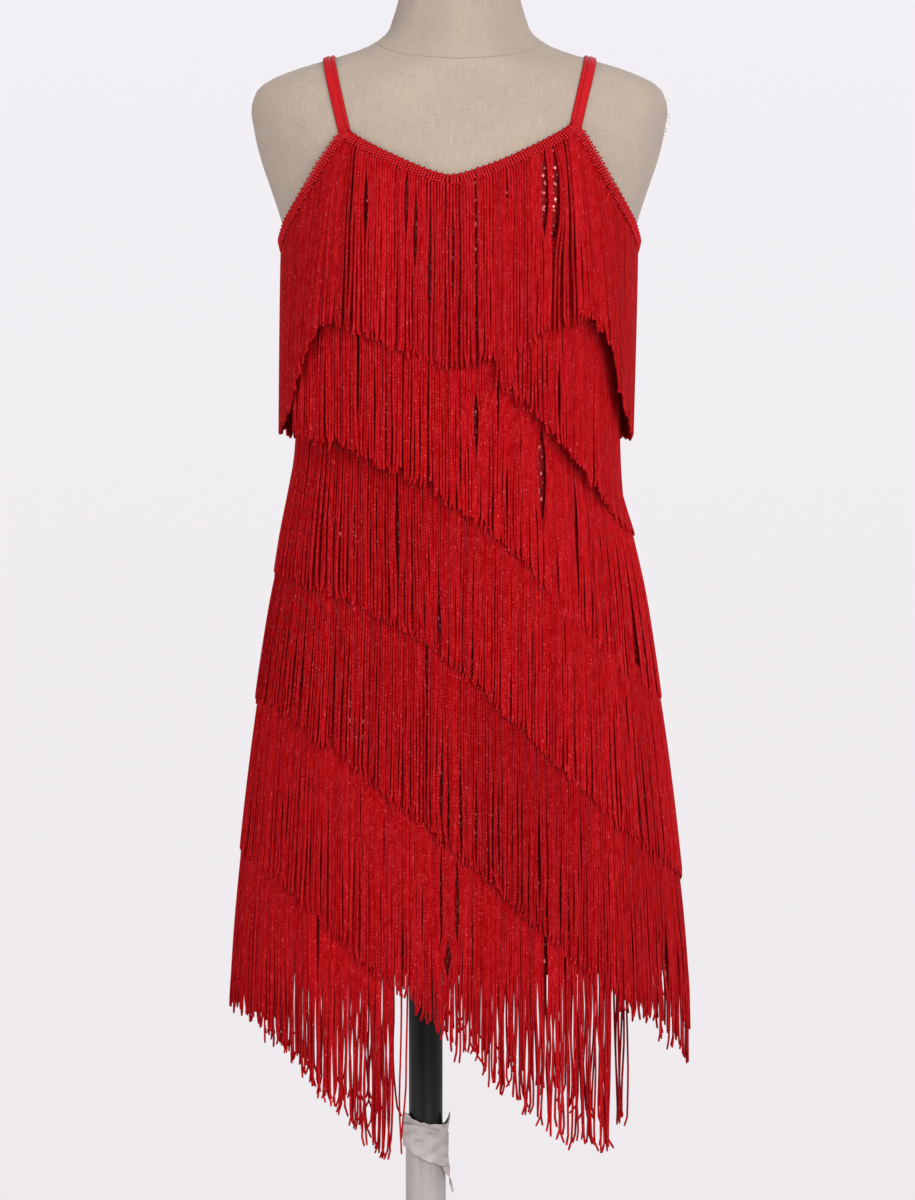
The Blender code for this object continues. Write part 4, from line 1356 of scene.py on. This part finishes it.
def yarn_lines(row_name, runs, seed):
    """Every yarn of a row as a line of points, with its run, tint and girth."""
    rng = np.random.default_rng(seed)
    sizes = dict(zip(YARN_COLUMNS, YARN_ROWS[row_name]))
    drop = fringe_drop[row_name]
    top_row = row_name == "top"
    root = YARN_ROOT.get(row_name, EDGE_ROOT)
    turn_share = np.array(YARN_TURN_POINTS)[None, :] / drop
    fall_share = turn_share[:, -1:] + (1 - turn_share[:, -1:]) * np.array(YARN_FALL_POINTS)
    drop_share = np.concatenate((turn_share, fall_share), axis=1)
    lines, runs_along, tints, girths = [], [], [], []
    for start, end, height in runs:
        angles, heights, down, _ = spaced_header(start, end, height, sizes["pitch"])
        count = len(angles)
        index = np.arange(count)
        # Metres of surface for each radian, at the root and level with it.
        step = 0.02
        level = laid_points(angles + step, heights) - laid_points(angles - step, heights)
        per_radian = np.linalg.norm(level, axis=1) / (2 * step)
        level /= np.linalg.norm(level, axis=1, keepdims=True)
        lean = np.sum(down * level, axis=1)  # sideways share of the tape's own direction down
        if top_row:
            lean = lean * np.abs(lean)  # on the neckline they turn down sooner
        fall = np.sqrt(1 - np.clip(lean, -0.99, 0.99) ** 2)
        hang_angle = angles + lean * (YARN_LEAD + YARN_TURN) / per_radian
        hang_top = height(np.clip(hang_angle, start, end))
        if top_row:
            hang_top = heights + (1 - fall) * (YARN_LEAD + YARN_TURN)
        tips = hang_top - drop + TIPS_RAGGED * ragged(rng, count, 7)
        tips = tips + rng.normal(0.0, TIPS_STRAY, count)
        if top_row:  # a little longer right of the middle
            middle, reach, longer = LONGER
            tips = tips - longer * bell(np.cos(angles) * 0.13, middle, reach) * (angles < 0)
        if row_name == "tail":  # the last of them in front are shorter
            tips = tips + TAIL_SHORT * np.clip((angles - end) / 0.035 + 1, 0, 1)
        stray = rng.uniform(size=count) < STRAY_SHARE
        tips = np.where(stray, tips + rng.uniform(-0.005, 0.010, count), tips)
        if row_name in SHORTER:  # many of the yarns at this side are shorter
            side, reach = SHORTER[row_name]
            cut = np.clip(side * np.cos(angles), 0, 1) ** 8 * (rng.uniform(size=count) < 0.6)
            tips = tips + cut * rng.uniform(0.006, reach, count)
        tips = tips + np.where(tips < HEM_Z - 0.02, rng.normal(0.0, 0.0035, count), 0.0)
        first = heights - fall * root
        z = column(first) + column(tips - first) * drop_share
        along_lead = root + (column(first) - z) / column(fall)
        bend = YARN_TURN * (1 - np.exp(-np.maximum(along_lead - YARN_LEAD, 0.0) / YARN_TURN))
        sideways = column(lean) * (np.minimum(along_lead, YARN_LEAD) + bend)
        if top_row:
            hang_x = laid_points(hang_angle, heights)[:, 0] - TORSO_X
            slid = np.sign(hang_x) * np.interp(np.abs(hang_x), SPREAD_AT, SPREAD)
            slid = slid * (np.sin(angles) < 0) / np.maximum(level[:, 0], 0.5)
            sideways = sideways + column(slid) * drop_share**0.7
        place = np.cumsum(np.full(count, sizes["pitch"]))

        # Small clumps draw their yarns together towards the tips.
        clump = np.searchsorted(np.cumsum(rng.integers(*CLUMP_SIZES, count)), index, side="right")
        centres = np.array([place[clump == c].mean() for c in range(clump.max() + 1)])
        centres = centres + rng.normal(0.0, CLUMP_STRAY, len(centres))
        pull = sizes["clumping"] * rng.uniform(*CLUMP_PULL, len(centres))[clump]
        sideways = sideways + column((centres[clump] - place) * pull) * drop_share**1.6

        # Gaps open between neighbours part of the way down.
        for boundary in rng.choice(count, max(count // GAP_EVERY, 1), replace=False):
            width = rng.uniform(*GAP_WIDTH)
            middle = rng.uniform(*GAP_MIDDLE)
            length = rng.uniform(*GAP_LENGTH)
            apart = index - boundary + 0.5
            near = np.sign(apart) * bell(np.abs(apart), 0.5, GAP_REACH)
            sideways = sideways + width * column(near) * bell(drop_share, middle, length)

        # Each yarn wavers a little, with its neighbours and by itself.
        sway = SWAY_SHARED * ragged(rng, count, 16) + SWAY_EACH * rng.normal(size=count)
        sideways = sideways + column(sway) * drop_share**1.5
        phase = column(rng.uniform(0, 2 * math.pi, count))
        beats = column(rng.uniform(*WAVER_BEATS, count))
        amount = column(rng.uniform(*WAVER, count))
        waver = np.sin(2 * math.pi * beats * drop_share + phase)
        sideways = sideways + amount * waver * drop_share**0.5
        free = np.clip((HEM_Z - z) / LOOSE_DROP, 0.0, 1.3)  # below the cloth they hang loose
        sideways = sideways + column(rng.normal(0.0, LOOSE_SIDEWAYS, count)) * free**1.3
        wave = np.sin(column(rng.uniform(25, 70, count)) * z + phase)
        sideways = sideways + LOOSE_WAVE * free * wave
        # There they cling in twos to fours, and change their neighbours on the way down.
        for near_z, reach in CLINGING:
            groups = np.searchsorted(np.cumsum(rng.integers(*CLING_SIZES, count)), index, "right")
            middles = np.bincount(groups, place) / np.maximum(np.bincount(groups), 1)
            cling = rng.uniform(*CLING_PULL, len(middles))[groups]
            gathered = column((middles[groups] - place) * cling)
            sideways = sideways + gathered * bell(z, near_z, reach)
        hook = column(rng.normal(0.0, HOOK, count)) * np.clip((drop_share - 0.95) / 0.05, 0, 1)
        sideways = sideways + hook * (1 + 1.1 * free)

        # Straight down where the body draws in, and on the cloth where it widens: there a
        # yarn moves sideways only as far as the cloth's slope under it leads it.
        angle = column(angles) + sideways / column(per_radian)
        ease = body_size("ease", z)
        width = np.maximum.accumulate(body_size("half_width", z) + ease, axis=1)
        on_cloth = body_depth(angle, z) + ease
        hanging = np.maximum.accumulate(on_cloth, axis=1)
        depth = hanging + LYING * np.sin(angle) ** 2 * (on_cloth - hanging)
        across = share_across(angle)
        side_slope = np.abs(across) ** (SQUARENESS - 1) / width
        front_slope = np.abs(np.sin(angle)) ** (2 - 2 / SQUARENESS) / depth
        drawn = side_slope**2 / (side_slope**2 + front_slope**2)
        across = across * (width[:, :1] + drawn * (width - width[:, :1])) / width
        angle = np.where(np.sin(angle) < 0, angle_at(across), angle_at(across, back=True))
        layer = column(rng.uniform(*LAYER_EACH, count))
        layer = layer + LAYER_SHARED * column(ragged(rng, count, 4))
        out = (
            CLOTH
            + HEADER_LIFT
            + 0.0004
            + sizes["lift"] * drop_share**LIFT_POWER
            + layer * (0.25 + 0.75 * np.sqrt(drop_share))
            + column(rng.normal(0.0, LOOSE_OUT, count)) * free
        )
        for row, side, half_way, at_tips in SIDES_OUT:
            if row == row_name:
                toward = np.clip(side * np.cos(angle), 0.0, 1.0) ** 3
                bow = half_way * np.sin(math.pi * drop_share) + at_tips * drop_share
                out = out + toward * bow
        for row, x, mid, half_length, aside in PARTINGS:
            if row == row_name:
                spot = ring_points(angle, z, width, depth, out)
                spot = spot[index, np.argmin(np.abs(z - mid), axis=1)]
                beside = spot[:, 0] - x
                push = aside * bell(beside, 0.0, PARTING_HALF) * np.sign(beside) * (spot[:, 1] < 0)
                angle = angle + column(push / per_radian) * bell(z, mid, half_length, 4)
        points = ring_points(angle, z, width, depth, out)
        steps = np.linalg.norm(np.diff(points, axis=1), axis=2)
        run = np.concatenate((np.zeros((count, 1)), np.cumsum(steps, axis=1)), axis=1)
        lines.append(points)
        runs_along.append(run + column(rng.uniform(0.0, 0.01, count)))
        # Each row's painted light and shade, and random differences of tone.
        tint = sizes["painted_lightness"] + TINT_EACH * rng.normal(size=count)
        tint = tint + TINT_SHARED * ragged(rng, count, 20)
        tints.append(np.broadcast_to(column(np.clip(tint, 0, 1)), run.shape))
        girth = sizes["girth"] * column(rng.uniform(*GIRTH_EACH, count)) * np.ones(run.shape)
        girth = girth * (1 - GIRTH_LOOSE * np.clip(free * 3, 0, 1))
        girth[:, -1] *= GIRTH_TIP
        girths.append(girth)
    points = np.concatenate(lines)
    starts = np.arange(len(points))[:, None] * YARN_POINTS + np.arange(YARN_POINTS - 1)
    edges = np.stack((starts, starts + 1), axis=-1).reshape(-1, 2).tolist()
    carried = {"run": runs_along, "tint": tints, "girth": girths}
    carried = {label: np.concatenate(values).ravel() for label, values in carried.items()}
    return places_mesh("yarn_lines", points, edges, **carried)


for seed, (row_name, runs) in enumerate(fringe_runs.items(), start=101):
    lines = yarn_lines(row_name, runs, seed)
    piece = grown("fringe_yarns_" + row_name, lines, yarn_tree, yarn)
    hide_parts("fringe_" + row_name)
    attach(piece, "root")
